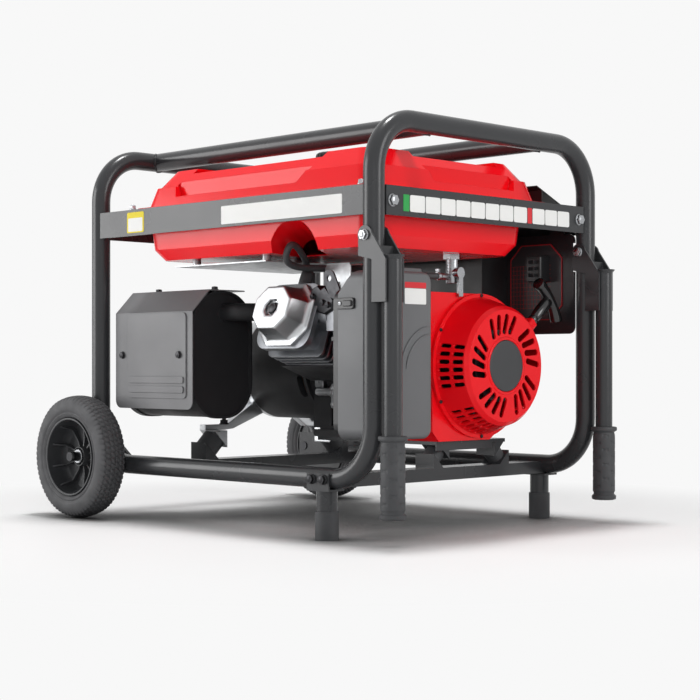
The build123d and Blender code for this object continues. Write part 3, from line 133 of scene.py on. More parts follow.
class GeneratorSizes(bpy.types.PropertyGroup):
    """Sizes of the modelled detail."""

    tread_pitch: length_setting("Tread pitch", "Length of one tread block round the tyre", 9.5)
    tread_depth: length_setting("Tread depth", "Depth of the tread grooves", 2.1)
    grip_relief: length_setting("Grip relief", "Height of the pads on the grips", 1.3)
    weld_size: length_setting("Weld size", "Radius of the weld beads on the frame", 2.6)


def add_node(tree, kind, inputs, **settings):
    """Adds a node with its settings; an input is a value or the output that feeds it."""
    node = tree.nodes.new(kind)
    for key, value in settings.items():
        setattr(node, key, value)
    for key, value in inputs.items():
        if isinstance(value, bpy.types.NodeSocket):
            tree.links.new(value, node.inputs[key])
        else:
            node.inputs[key].default_value = value
    return node


FINISHES = {}


def finish(name, colour, metallic=0.0, rough=(0.4, 0.5), mottle=(60.0, 0.1), grain=(1.0, 0.02),
           coat=0.0, edge=0.5, sheen=0.0, shine=0.5):
    """Surface with mottled colour, uneven gloss, a fine grain and softened edges.

    rough is the least and most roughness, mottle the patch size in millimetres and its
    strength, grain the grain size and depth in millimetres, edge the softened radius and
    shine the strength of the plain reflection.
    """
    material = bpy.data.materials.new(name)
    material.use_nodes = True
    tree = material.node_tree
    shader = tree.nodes["Principled BSDF"]
    shader.inputs["Metallic"].default_value = metallic
    shader.inputs["Specular IOR Level"].default_value = shine
    if coat:
        shader.inputs["Coat Weight"].default_value = coat
        shader.inputs["Coat Roughness"].default_value = 0.08
    if sheen:
        shader.inputs["Sheen Weight"].default_value = sheen
    place = add_node(tree, "ShaderNodeTexCoord", {}).outputs["Object"]

    def noise(size, detail):
        inputs = {"Vector": place, "Scale": 1 / (size * MM), "Detail": detail}
        return add_node(tree, "ShaderNodeTexNoise", inputs).outputs["Fac"]

    def ranged(low, high):
        inputs = {"Value": patches, "From Min": 0.3, "From Max": 0.7, "To Min": low, "To Max": high}
        return add_node(tree, "ShaderNodeMapRange", inputs).outputs["Result"]

    patches = noise(mottle[0], 4.0)
    dark = [c * 0.45 for c in colour[:3]] + [1.0]
    blend = {"Factor": ranged(0.0, mottle[1]), "A": list(colour), "B": dark}
    tint = add_node(tree, "ShaderNodeMix", blend, data_type="RGBA").outputs["Result"]
    soft = add_node(tree, "ShaderNodeBevel", {"Radius": edge * MM}, samples=4).outputs["Normal"]
    relief = {"Height": noise(grain[0], 3.0), "Distance": grain[1] * MM, "Strength": 1.0, "Normal": soft}
    bump = add_node(tree, "ShaderNodeBump", relief).outputs["Normal"]
    for socket, output in (("Base Color", tint), ("Roughness", ranged(*rough)), ("Normal", bump)):
        tree.links.new(output, shader.inputs[socket])
    FINISHES[name] = material
    return material


def make_finishes(colours):
    """All finishes, each named for what the real material is."""
    # Powder coat: melted dry paint, a low gloss with a slight orange peel
    finish("powder_coated_steel", colours.frame_grey, 0.0, (0.22, 0.3), (90, 0.1), (1.6, 0.02),
           edge=0.4, shine=0.36)
    # Stoved red enamel: even colour with a smooth, glossy skin
    finish("red_enamel_steel", colours.tank_red, 0.0, (0.16, 0.24), (120, 0.08), (2.4, 0.01),
           edge=1.2, shine=0.24)
    # Red nylon: moulded blower parts, a little softer in gloss than the enamel
    finish("red_nylon", colours.tank_red, 0.0, (0.2, 0.28), (70, 0.08), (1.2, 0.01),
           edge=0.8, shine=0.22)
    # Heat-proof paint: dry black, fine as dust, with pale bloom
    finish("heat_proof_black_paint", colours.black, 0.0, (0.45, 0.6), (50, 0.3), (0.7, 0.03),
           edge=0.8, shine=0.35)
    finish("heat_proof_grey_paint", colours.shield_grey, 0.0, (0.42, 0.52), (90, 0.1), (0.7, 0.03),
           edge=0.8)
    # Sand-cast aluminium: grey with pits of the sand's grain
    finish("sand_cast_aluminium", colours.alloy, 1.0, (0.34, 0.5), (25, 0.35), (1.1, 0.08), edge=0.8)
    # Die-cast aluminium: bright, tumbled smooth
    finish("die_cast_aluminium", linear("#c4c6c8"), 1.0, (0.26, 0.4), (40, 0.15), (1.6, 0.03), edge=3.0)
    # Zinc plate: bright metal with a faint cloud
    finish("zinc_plated_steel", linear("#a8aaad"), 1.0, (0.22, 0.36), (8, 0.2), (0.5, 0.008), edge=0.4)
    # Black oxide: blued steel screws, near black with a low oily shine
    finish("black_oxide_steel", linear("#3a3a3c"), 0.9, (0.3, 0.42), (6, 0.3), (0.5, 0.01), edge=0.4)
    # Glass-filled nylon polished in the mould: wet black shine
    finish("glossy_nylon_black", linear("#141415"), 0.0, (0.14, 0.22), (40, 0.2), (1.4, 0.01), 0.3, 0.6)
    # Machined steel and iron inside the engine
    finish("machined_steel", linear("#9a9b9d"), 1.0, (0.25, 0.4), (15, 0.2), (0.4, 0.01), edge=0.4)
    finish("grey_cast_iron", linear("#5b5b5c"), 0.9, (0.5, 0.65), (12, 0.3), (1.2, 0.08), edge=0.6)
    finish("varnished_windings", linear("#6e3a1d"), 0.3, (0.3, 0.5), (6, 0.5), (1.0, 0.2), edge=0.4)
    # Moulded rubber: dull, dusty grey-black
    finish("moulded_rubber", colours.rubber, 0.0, (0.55, 0.7), (30, 0.2), (0.8, 0.03), edge=0.6)
    finish("tyre_rubber", colours.tyre, 0.0, (0.6, 0.75), (20, 0.3), (1.2, 0.08), edge=0.5)
    # Polypropylene and ABS: spark-eroded grain of the mould
    finish("polypropylene", linear("#333436"), 0.0, (0.4, 0.5), (40, 0.2), (0.7, 0.03), edge=0.5)
    finish("grained_abs_grey", colours.cover_grey, 0.0, (0.42, 0.5), (80, 0.12), (0.7, 0.03), edge=1.0)
    finish("grained_abs_black", linear("#1d1d1f"), 0.0, (0.32, 0.42), (60, 0.2), (0.8, 0.02), edge=0.6)
    # Braided nylon rope and oiled filter foam
    finish("braided_nylon", linear("#2a2a2b"), 0.0, (0.6, 0.8), (3, 0.4), (0.9, 0.25), edge=0.2, sheen=0.3)
    finish("filter_foam", linear("#8b7a4a"), 0.0, (0.8, 0.95), (5, 0.4), (1.5, 0.6), edge=0.3)
    # Galvanised sheet: dull pale spangle
    finish("galvanised_sheet", linear("#b4b6b8"), 1.0, (0.34, 0.5), (12, 0.3), (1.4, 0.01), edge=0.4)
    # Dark mica board behind the controls, and the red line printed round it
    finish("panel_board", linear("#2c2c2e"), 0.0, (0.3, 0.38), (60, 0.1), (0.8, 0.01), edge=0.3)
    finish("red_print", linear("#9c2026"), 0.0, (0.4, 0.5), (20, 0.1), (0.6, 0.005), edge=0.1)
    # Vinyl film: smooth under a matt laminate, so it stays white where a lamp mirrors in the paint round it
    finish("white_vinyl_film", colours.plate, 0.0, (0.5, 0.6), (60, 0.05), (2.0, 0.005),
           edge=0.1, shine=0.12)
    finish("yellow_vinyl_film", linear("#e9d548"), 0.0, (0.5, 0.6), (60, 0.06), (2.0, 0.005),
           edge=0.1, shine=0.12)
    finish("green_vinyl_film", linear("#1f9a45"), 0.0, (0.3, 0.36), (60, 0.06), (2.0, 0.005), edge=0.1)
    finish("red_vinyl_film", linear("#d2202a"), 0.0, (0.3, 0.36), (60, 0.06), (2.0, 0.005), edge=0.1)
    finish("badge_foil", linear("#37383a"), 0.2, (0.34, 0.42), (60, 0.08), (1.2, 0.01), edge=0.2)


NODE_FINISH = {
    "powder_coated_steel": (
        "wheel_end_hoop", "handle_end_hoop", "top_rails", "tank_shelf_bars", "base_cross_members",
        "foot_posts", "left_handle", "right_handle", "engine_base_plate",
    ),
    "red_enamel_steel": ("tank_lower", "tank_upper", "fan_cover"),
    "red_nylon": ("recoil_housing",),
    "heat_proof_black_paint": (
        "muffler", "alternator_shell", "cylinder_shroud", "crankcase", "crankcase_cover",
        "alternator_adapter",
    ),
    "heat_proof_grey_paint": ("muffler_shield",),
    "sand_cast_aluminium": ("cylinder_head", "carburettor"),
    "die_cast_aluminium": ("rocker_cover", "alternator_end_cover"),
    "zinc_plated_steel": ("fasteners", "fuel_valve_body", "fuel_valve_lever", "spark_plug"),
    "galvanised_sheet": ("tank_heat_shield",),
    "black_oxide_steel": ("axle",),
    "machined_steel": ("crankshaft", "bearings"),
    "grey_cast_iron": ("flywheel",),
    "varnished_windings": ("stator", "rotor"),
    "moulded_rubber": ("foot_caps", "left_grip", "right_grip", "rubber_mounts", "fuel_hose",
                       "ignition_lead", "cap_gasket"),
    "tyre_rubber": ("left_tyre", "right_tyre"),
    "polypropylene": ("left_rim", "right_rim"),
    "grained_abs_grey": ("air_cleaner_cover",),
    "grained_abs_black": (
        "panel_fascia", "panel_housing", "panel_sockets", "recoil_pulley", "pull_handle", "choke_lever",
        "air_cleaner_base", "oil_dipstick", "fuel_cap", "engine_switch", "breaker_lever",
    ),
    "braided_nylon": ("starter_rope",),
    "filter_foam": ("air_filter_element",),
}


class GENERATOR_OT_finishes(bpy.types.Operator):
    """Make the finishes and paint the solids that show as they are"""

    bl_idname = "generator.finishes"
    bl_label = "Finishes"

    def execute(self, context):
        make_finishes(context.scene.generator_colours)
        for name, nodes in NODE_FINISH.items():
            for node in nodes:
                solid = NODES[node]
                for slot in solid.material_slots:
                    slot.material = FINISHES[name]
                if not solid.material_slots:
                    solid.data.materials.append(FINISHES[name])
        return {"FINISHED"}


def piece(name, shape, finish_name, body="frame", stands_for=(), sharp=32.0):
    """Object made from a mesh in millimetres, painted and carried by a body."""
    bmesh.ops.scale(shape, vec=(MM, MM, MM), verts=shape.verts)
    bmesh.ops.recalc_face_normals(shape, faces=shape.faces)
    mesh = bpy.data.meshes.new(name)
    shape.to_mesh(mesh)
    shape.free()
    mesh.shade_smooth()
    mesh.set_sharp_from_angle(angle=radians(sharp))
    mesh.materials.append(FINISHES[finish_name])
    made = bpy.data.objects.new(name, mesh)
    bpy.context.scene.collection.objects.link(made)
    if body:
        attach(made, body)
    if stands_for:
        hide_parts(*stands_for)
    return made


def facing(origin, towards, across=(0, 0, 1)):
    """Place whose third axis points along towards and whose second is nearest to across."""
    w = Vector(towards).normalized()
    v = Vector(across) - w * Vector(across).dot(w)
    if v.length < 1e-6:
        v = w.orthogonal()
    v.normalize()
    u = v.cross(w)
    place = Matrix((u, v, w)).transposed().to_4x4()
    place.translation = Vector(origin)
    return place


def skin(shape, rows, closed_rows=True, closed_round=False):
    """Faces between rows of points; each row may run round, and the rows may join up."""
    grid = [[shape.verts.new(point) for point in row] for row in rows]
    count = len(grid)
    for i in range(count if closed_round else count - 1):
        first, second = grid[i], grid[(i + 1) % count]
        size = len(first)
        for j in range(size if closed_rows else size - 1):
            k = (j + 1) % size
            shape.faces.new((first[j], first[k], second[k], second[j]))
    return grid


def round_row(place, along, radius, steps):
    """Points of a circle about the place's third axis."""
    turns = [2 * pi * i / steps for i in range(steps)]
    return [place @ Vector((radius * cos(turn), radius * sin(turn), along)) for turn in turns]


def turned(shape, profile, place, steps=32):
    """Solid turned about the place's third axis, from (along, radius) pairs."""
    grid = skin(shape, [round_row(place, along, radius, steps) for along, radius in profile])
    shape.faces.new(grid[0])
    shape.faces.new(grid[-1])


def drawn(shape, outline, place, depth, rim=0.0):
    """Flat outline drawn out along the place's third axis, with a small chamfer on its outer rim."""
    size = len(outline)
    centre = (sum(p[0] for p in outline) / size, sum(p[1] for p in outline) / size)
    levels = [(0.0, 0.0), (depth - rim, 0.0)]
    if rim:
        levels.append((depth, rim))
    rows = []
    for height, inset in levels:
        row = []
        for x, y in outline:
            reach = hypot(x - centre[0], y - centre[1])
            keep = 1 - inset / reach if reach else 1
            row.append(place @ Vector((centre[0] + (x - centre[0]) * keep,
                                       centre[1] + (y - centre[1]) * keep, height)))
        rows.append(row)
    grid = skin(shape, rows)
    shape.faces.new(grid[0])
    shape.faces.new(grid[-1])


def swept(shape, points, radii, sides=16):
    """Round bar through points, with a radius at each."""
    rows = []
    side = None
    for i, point in enumerate(points):
        ahead = Vector(points[min(i + 1, len(points) - 1)]) - Vector(points[max(i - 1, 0)])
        ahead.normalize()
        side = ahead.orthogonal() if side is None else side - ahead * side.dot(ahead)
        side.normalize()
        other = ahead.cross(side)
        row = []
        for k in range(sides):
            angle = 2 * pi * k / sides
            row.append(Vector(point) + (side * cos(angle) + other * sin(angle)) * radii[i])
        rows.append(row)
    grid = skin(shape, rows)
    shape.faces.new(grid[0])
    shape.faces.new(grid[-1])


def rounded(width, height, radius, steps=5, centre=(0.0, 0.0)):
    """Outline of a rectangle with round corners."""
    points = []
    corners = ((1, 1, 0), (-1, 1, 90), (-1, -1, 180), (1, -1, 270))
    for sx, sy, start in corners:
        for i in range(steps + 1):
            angle = radians(start + 90 * i / steps)
            points.append((
                centre[0] + sx * (width / 2 - radius) + radius * cos(angle),
                centre[1] + sy * (height / 2 - radius) + radius * sin(angle),
            ))
    return points


def hollow(shape, outer, inner, place, depth):
    """Flat ring between two like outlines, drawn out along the place's third axis."""
    rows = [[place @ Vector((*point, height)) for point in outline]
            for outline, height in ((outer, 0.0), (outer, depth), (inner, depth), (inner, 0.0))]
    skin(shape, rows, closed_round=True)


def side_plane(y):
    """Place on a plane across Y that faces the muffler side; its first two axes are X and Z."""
    return facing((0, y, 0), (0, -1, 0))


def octagon(x0, x1, z0, z1, cut):
    """Outline of a rectangle with its corners cut off."""
    return [(x1, z0 + cut), (x1, z1 - cut), (x1 - cut, z1), (x0 + cut, z1),
            (x0, z1 - cut), (x0, z0 + cut), (x0 + cut, z0), (x1 - cut, z0)]


def eased(corners, radius, steps=4):
    """Outline whose corners are rounded by arcs of a radius."""
    points = []
    count = len(corners)
    for i in range(count):
        before, here, after = (Vector(corners[(i + k) % count]) for k in (-1, 0, 1))
        first, second = (before - here).normalized(), (after - here).normalized()
        half = first.angle(second) / 2
        reach = radius / tan(half)
        centre = here + (first + second).normalized() * radius / sin(half)
        start, end = here + first * reach - centre, here + second * reach - centre
        for k in range(steps + 1):
            points.append(tuple(centre + start.slerp(end, k / steps)))
    return points


def smooth(value, low, high):
    """Eased step from 0 at low to 1 at high."""
    t = min(1.0, max(0.0, (value - low) / (high - low)))
    return t * t * (3 - 2 * t)


def hexagon(across):
    """Outline of a hexagon by its width across the flats."""
    reach = across / sqrt(3)
    return [(reach * cos(radians(60 * i)), reach * sin(radians(60 * i))) for i in range(6)]


def bolt(shape, origin, towards, across, height):
    """Hexagon head with a chamfered crown on a round flange."""
    place = facing(origin, towards)
    flange, crown, step = across * 0.64, across * 0.4, height * 0.3
    turned(shape, [(0, flange), (height * 0.14, flange), (step, flange * 0.86), (step, 0.1)], place)
    head = place @ Matrix.Translation((0, 0, height * 0.2))
    drawn(shape, hexagon(across), head, height * 0.7, across * 0.06)
    turned(shape, [(height * 0.85, crown), (height * 0.95, crown * 0.8), (height, crown * 0.3),
                   (height, 0.1)], place)


def screw(shape, origin, towards, radius, height):
    """Pan head screw with a socket sunk in its top."""
    socket = height * 0.55
    turned(shape, [(0, radius), (socket, radius), (height * 0.85, radius * 0.85), (height, radius * 0.45),
                   (socket, radius * 0.3), (socket, 0.1)], facing(origin, towards), 24)


def film(name, origin, towards, width, height, finish_name, thick=0.5, radius=2.0):
    """Thin blank plate of film on a flat face."""
    shape = bmesh.new()
    drawn(shape, rounded(width, height, radius), facing(origin, towards), thick, thick * 0.5)
    piece(name, shape, finish_name)


def route_line(name, points, radius, finish_name):
    """Round cord on one smooth spline whose control points are the route's points."""
    curve = bpy.data.curves.new(name, "CURVE")
    curve.dimensions = "3D"
    curve.bevel_depth = radius * MM
    curve.bevel_resolution = 6
    curve.use_fill_caps = True
    spline = curve.splines.new("NURBS")
    spline.points.add(len(points) - 1)
    for spot, point in zip(spline.points, points):
        spot.co = (*(c * MM for c in point), 1.0)
    spline.order_u = 3
    spline.use_endpoint_u = True
    spline.resolution_u = 16
    curve.materials.append(FINISHES[finish_name])
    made = bpy.data.objects.new(name, curve)
    bpy.context.scene.collection.objects.link(made)
    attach(made, "frame")
    return made


class GENERATOR_OT_tyres(bpy.types.Operator):
    """Model both tyres with their tread blocks, shoulder notches and sidewall rings"""

    bl_idname = "generator.tyres"
    bl_label = "Tyres"

    def execute(self, context):
        sizes = context.scene.generator_sizes
        pitch, depth = sizes.tread_pitch / MM, sizes.tread_depth / MM
        crown_rows, steps_per_block = 33, 8
        for side in ("left", "right"):
            low, high = span(f"{side}_tyre")
            centre = (low + high) / 2
            outer = (high.z - low.z) / 2
            half = (high.y - low.y) / 2
            wall = [(half - inset, TYRE_BEAD + rise) for inset, rise in TYRE_WALL]
            crown_half = half - 5.5
            crown = []
            for i in range(crown_rows):
                share = 1 - 2 * i / (crown_rows - 1)
                crown.append((crown_half * share, outer - 3.4 * share**2 - 0.4 * share**4))
            profile = wall + crown + [(-y, r) for y, r in reversed(wall)]
            blocks = round(2 * pi * outer / pitch)
            around = blocks * steps_per_block
            rows = []
            for k in range(around):
                turn = 2 * pi * k / around
                row = []
                for y, r in profile:
                    cut = 0.0
                    if r > outer - SHOULDER:
                        lane = (y + half) / LANE_WIDTH
                        # Blocks of neighbouring lanes are staggered by half and slant across the tread
                        phase = k / steps_per_block + 0.5 * (int(lane) % 2) + 0.035 * y
                        off = abs(phase - round(phase)) * pitch
                        along = abs(lane - round(lane)) * LANE_WIDTH
                        across_cut = 1 - smooth(off, 0.9, 2.2)
                        lane_cut = (1 - smooth(along, 0.5, 1.5)) if r > outer - 5 else 0.0
                        cut = depth * max(across_cut, lane_cut) * smooth(r, outer - SHOULDER, outer - 6)
                    # The tread is cut inwards, the shoulder sideways
                    inward = smooth(r, outer - 8, outer - 4)
                    radius = r - cut * inward
                    axial = y - cut * 0.45 * (1 - inward) * (1 if y > 0 else -1)
                    row.append(centre + Vector((radius * cos(turn), axial, radius * sin(turn))))
                rows.append(row)
            shape = bmesh.new()
            skin(shape, rows, closed_round=True)
            piece(f"{side}_tyre_tread", shape, "tyre_rubber", f"{side}_wheel",
                  (f"{side}_tyre",), sharp=50)
        return {"FINISHED"}


class GENERATOR_OT_grips(bpy.types.Operator):
    """Model both rubber grips with their collars and raised leaf-shaped pads"""

    bl_idname = "generator.grips"
    bl_label = "Grips"

    def execute(self, context):
        relief = context.scene.generator_sizes.grip_relief / MM
        for side in ("left", "right"):
            low, high = span(f"{side}_grip")
            centre = (low + high) / 2
            collar = (high.x - low.x) / 2
            body_r = 17.0
            profile = [(0, 0.01), (0, body_r), (0.8, body_r + 2.2), (2.2, body_r + 3), (6.5, body_r + 3),
                       (8.2, body_r + 1.4), (9.2, body_r)]
            top = high.z - low.z
            pad_low, pad_high = 11.0, top - 9.5
            steps = 84
            profile += [(pad_low + (pad_high - pad_low) * i / steps, body_r) for i in range(steps + 1)]
            profile += [(top - 8.4, body_r + 0.6), (top - 7.2, collar - 2), (top - 6.2, collar - 0.4),
                        (top - 5.0, collar), (top - 1.8, collar), (top - 0.5, collar - 0.8),
                        (top, collar - 2.4), (top, 14.3)]
            around = 96
            columns = 8
            step_z = 24.0
            shape = bmesh.new()
            rows = []
            for along, radius in profile:
                row = []
                for k in range(around):
                    angle = 2 * pi * k / around
                    rise = 0.0
                    if pad_low < along < pad_high:
                        column = columns * angle / (2 * pi)
                        for c in (int(column) - 1, int(column), int(column) + 1, int(column) + 2):
                            across = abs(column - c)
                            z = along - pad_low + (step_z / 2 if c % 2 else 0.0)
                            cell = (z / step_z - round(z / step_z)) * 2
                            leaf = 1 - (abs(cell) * 1.06) ** 2.2 - (across / 0.72) ** 2
                            rise = max(rise, smooth(leaf, 0.0, 0.28))
                        rise *= smooth(along, pad_low, pad_low + 4)
                        rise *= 1 - smooth(along, pad_high - 4, pad_high)
                    r = radius + relief * rise
                    row.append((centre.x + r * cos(angle), centre.y + r * sin(angle), low.z + along))
                rows.append(row)
            skin(shape, rows)
            piece(f"{side}_grip_sleeve", shape, "moulded_rubber", f"{side}_fold_handle",
                  (f"{side}_grip",), sharp=40)
        return {"FINISHED"}


class GENERATOR_OT_bolts(bpy.types.Operator):
    """Model the flanged bolts, nuts and screws in place of the plain fasteners"""

    bl_idname = "generator.bolts"
    bl_label = "Bolts"

    def execute(self, context):
        bright, dark = bmesh.new(), bmesh.new()
        hoop_high = span("handle_end_hoop")[1]
        bars_low, bars_high = span("tank_shelf_bars")
        handle_low, handle_high = span("left_handle")
        post_y = hoop_high.y - 16.0
        pivot_x, pivot_z = hoop_high.x - 16.0, handle_high.z - 14.0
        bracket = (handle_high.y - handle_low.y) / 2
        foot_low, foot_high = span("foot_posts")
        axle, axle_end = middle("axle"), span("axle")[1].y
        washer = [(0, 12), (1.4, 12), (2.0, 11.4), (2.0, 8.2), (0, 8.2)]
        for side in (-1, 1):
            for way in (-1, 1):
                face = (pivot_x, side * post_y + way * (bracket + 0.3), pivot_z)
                bolt(bright, face, (0, way, 0), 13, 7)
            turned(bright, [(-bracket, 5), (bracket, 5)],
                   facing((pivot_x, side * post_y, pivot_z), (0, 1, 0)))
            for end, x in ((-1, bars_low.x), (1, bars_high.x)):
                bolt(bright, (x, side * (post_y - 30), bars_low.z + 22), (end, 0, 0), 15, 7)
            for x in (foot_low.x + 11, foot_low.x + 36):
                bolt(dark, (x, side * foot_high.y, foot_high.z - 9), (0, side, 0), 12.5, 8)
            turned(bright, washer, facing((axle.x, side * (axle_end - 18.7), axle.z), (0, side, 0)))
        tank_low, tank_high = span("tank_upper")
        for x, y in ((tank_high.x - 26, tank_low.y + 7), (tank_low.x + 74, tank_high.y - 6),
                     (tank_high.x - 84, tank_high.y - 6)):
            bolt(bright, (x, y, tank_low.z + 1.6), (0, 0, 1), 10, 8)
        lug_low, lug_high = span("tank_lower")
        bolt(bright, (lug_low.x + 15, lug_low.y + 6.5, lug_high.z), (0, 0, 1), 10, 10)
        crank = Vector(CRANK)
        seat = Vector((middle("rocker_cover").x, crank.y, crank.z)) + CYLINDER_OUT * 269
        bolt(dark, seat, CYLINDER_OUT, 17, 6.5)
        ring = span("fan_cover")[1].x + 6
        for i in range(6):
            angle = radians(30 + 60 * i)
            spot = (ring, crank.y + 114 * cos(angle), crank.z + 114 * sin(angle))
            screw(dark, spot, (1, 0, 0), 2.9, 2.4)
        shell_end = span("alternator_shell")[0].x - 12
        for i in range(4):
            angle = radians(90 * i)
            spot = (shell_end, crank.y + 90 * cos(angle), crank.z + 90 * sin(angle))
            bolt(bright, spot, (-1, 0, 0), 6.5, 6)
        shield_low, shield_high = span("muffler_shield")
        plate_y = shield_low.y + 4.4
        for x, y in ((shield_low.x + 20, plate_y), (shield_high.x - 32, plate_y - 2.2)):
            bolt(dark, (x, y, shield_high.z - 109), (0, -1, 0), 10, 5)
        for x in (shield_low.x + 44, shield_high.x - 14):
            bolt(dark, (x, plate_y + 60, shield_high.z), (0, 0, 1), 10, 6)
        for y in (crank.y - 136, crank.y + 96):
            seat = (ALTERNATOR_X, y, MOUNT_FOOT)
            stud = [(0, 3.6), (15, 3.6), (16.5, 2.6), (16.5, 0.1)]
            bolt(dark, seat, (0, 0, 1), 13, 9)
            turned(dark, stud, facing(seat, (0, 0, 1)), 20)
        nut = facing((ring + 10, crank.y, crank.z), (1, 0, 0))
        drawn(bright, hexagon(24), nut, 4, 0.8)
        piece("bright_bolts", bright, "zinc_plated_steel", stands_for=("fasteners",))
        piece("black_bolts", dark, "black_oxide_steel")
        return {"FINISHED"}


class GENERATOR_OT_plates(bpy.types.Operator):
    """Lay the blank film plates on the bars and the air cleaner"""

    bl_idname = "generator.plates"
    bl_label = "Blank plates"

    def execute(self, context):
        bars_low, bars_high = span("tank_shelf_bars")
        mid_z = (bars_low.z + bars_high.z) / 2 - 2
        side, end = (0, -1, 0), (1, 0, 0)
        film("side_strip_film", (163, bars_low.y, mid_z - 1), side, 274, 29, "white_vinyl_film")
        film("corner_tag_film", (-197, bars_low.y, mid_z + 2), side, 46, 35, "yellow_vinyl_film", radius=3)
        film("corner_tag_field", (-197, bars_low.y - 0.4, mid_z - 2), side, 39, 23, "white_vinyl_film", 0.3)
        tiles = [(13, "green_vinyl_film")] + [(33, "white_vinyl_film")] * 8
        tiles += [(11, "red_vinyl_film")] + [(31, "white_vinyl_film")] * 3
        left, gap = -202.0, 1.6
        for i, (width, finish_name) in enumerate(tiles):
            spot = (bars_high.x, left + width / 2, mid_z)
            corner = 3 if width > 20 else 1.5
            film(f"end_tile_film.{i:02d}", spot, end, width, 25, finish_name, radius=corner)
            left += width + gap
        face = span("air_cleaner_cover")[1].x
        film("cover_tag_film", (face, -131, 367), end, 48, 24, "white_vinyl_film", 0.3)
        film("cover_tag_head", (face, -131, 384), end, 48, 9, "red_vinyl_film", 0.3, 1.5)
        return {"FINISHED"}


class GENERATOR_OT_recoil_badge(bpy.types.Operator):
    """Set the bare badge disc in its raised ring on the recoil housing"""

    bl_idname = "generator.recoil_badge"
    bl_label = "Recoil badge"

    def execute(self, context):
        place = facing((span("recoil_housing")[1].x - 0.2, *CRANK[1:]), (1, 0, 0))
        ring = bmesh.new()
        turned(ring, [(0, 47), (0.8, 46.6), (1.8, 45), (2.0, 43.4), (1.4, 42), (0.2, 41.4), (0.2, 0.1)],
               place, 96)
        piece("badge_ring", ring, "red_nylon")
        disc = bmesh.new()
        turned(disc, [(0.2, 41), (1.0, 40.6), (1.3, 39.6), (1.5, 30), (1.7, 15), (1.8, 0.1)], place, 96)
        piece("badge_disc", disc, "badge_foil")
        return {"FINISHED"}


class GENERATOR_OT_pull_handle(bpy.types.Operator):
    """Model the starter's T handle and the rope that runs into its cone"""

    bl_idname = "generator.pull_handle"
    bl_label = "Pull handle"

    def execute(self, context):
        rope_x = middle("pull_handle").x
        hub = Vector((rope_x, *CRANK[1:]))
        lean = radians(ROPE_ANGLE)
        out = Vector((0, cos(lean), sin(lean)))
        across = Vector((0, -sin(lean), cos(lean)))
        shape = bmesh.new()
        bar_at, stem_at = PULL_BAR, ROPE_OUTLET + 2.0
        points, radii = [], []
        for i in range(33):
            t = -1 + i / 16
            end = max(0.0, abs(t) - 0.9) / 0.1
            points.append(hub + out * (bar_at + 2.5 - 9 * t * t) + across * (42 * t))
            radii.append((8.8 + 2.2 * abs(t) ** 1.6) * sqrt(max(0.02, 1 - end**2.2)))
        swept(shape, points, radii, 24)
        profile = [(stem_at, 3.2), (stem_at, 6.8), (stem_at + 1.5, 7.8), (stem_at + 8, 8.0),
                   (stem_at + 10, 7.2), (stem_at + 12, 8.4), (stem_at + 30, 9.8), (bar_at - 14, 10.4),
                   (bar_at - 6, 9.8), (bar_at, 6.0)]
        turned(shape, profile, facing(hub, out, (1, 0, 0)), 32)
        grip = piece("pull_grip", shape, "glossy_nylon_black", "pull",
                     ("pull_handle",), sharp=45)

        turns = ((54.6, 87.46), (84.0, ROPE_ANGLE), (ROPE_OUTLET + 16, ROPE_ANGLE))
        route = [(rope_x, CRANK[1] + r * cos(radians(a)), CRANK[2] + r * sin(radians(a))) for r, a in turns]
        guide_line = route_line("rope_route", route, 0.0, "braided_nylon")
        traced = bpy.data.meshes.new_from_object(guide_line)
        points = [vertex.co / MM for vertex in traced.vertices]
        bpy.data.objects.remove(guide_line)
        strand = bmesh.new()
        swept(strand, points, [2.3] * len(points), 16)
        rope = piece("starter_rope_line", strand, "braided_nylon", None, ("starter_rope",))
        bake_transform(rope)

        guide = bmesh.new()
        turned(guide, [(ROPE_OUTLET - 3, 4.2), (ROPE_OUTLET - 3, 6.4), (ROPE_OUTLET + 0.6, 6.4),
                       (ROPE_OUTLET + 1.4, 5.4), (ROPE_OUTLET + 0.9, 4.0), (ROPE_OUTLET - 2, 3.4)],
               facing(hub, out, (1, 0, 0)), 28)
        piece("rope_eyelet", guide, "zinc_plated_steel")
        return {"FINISHED"}


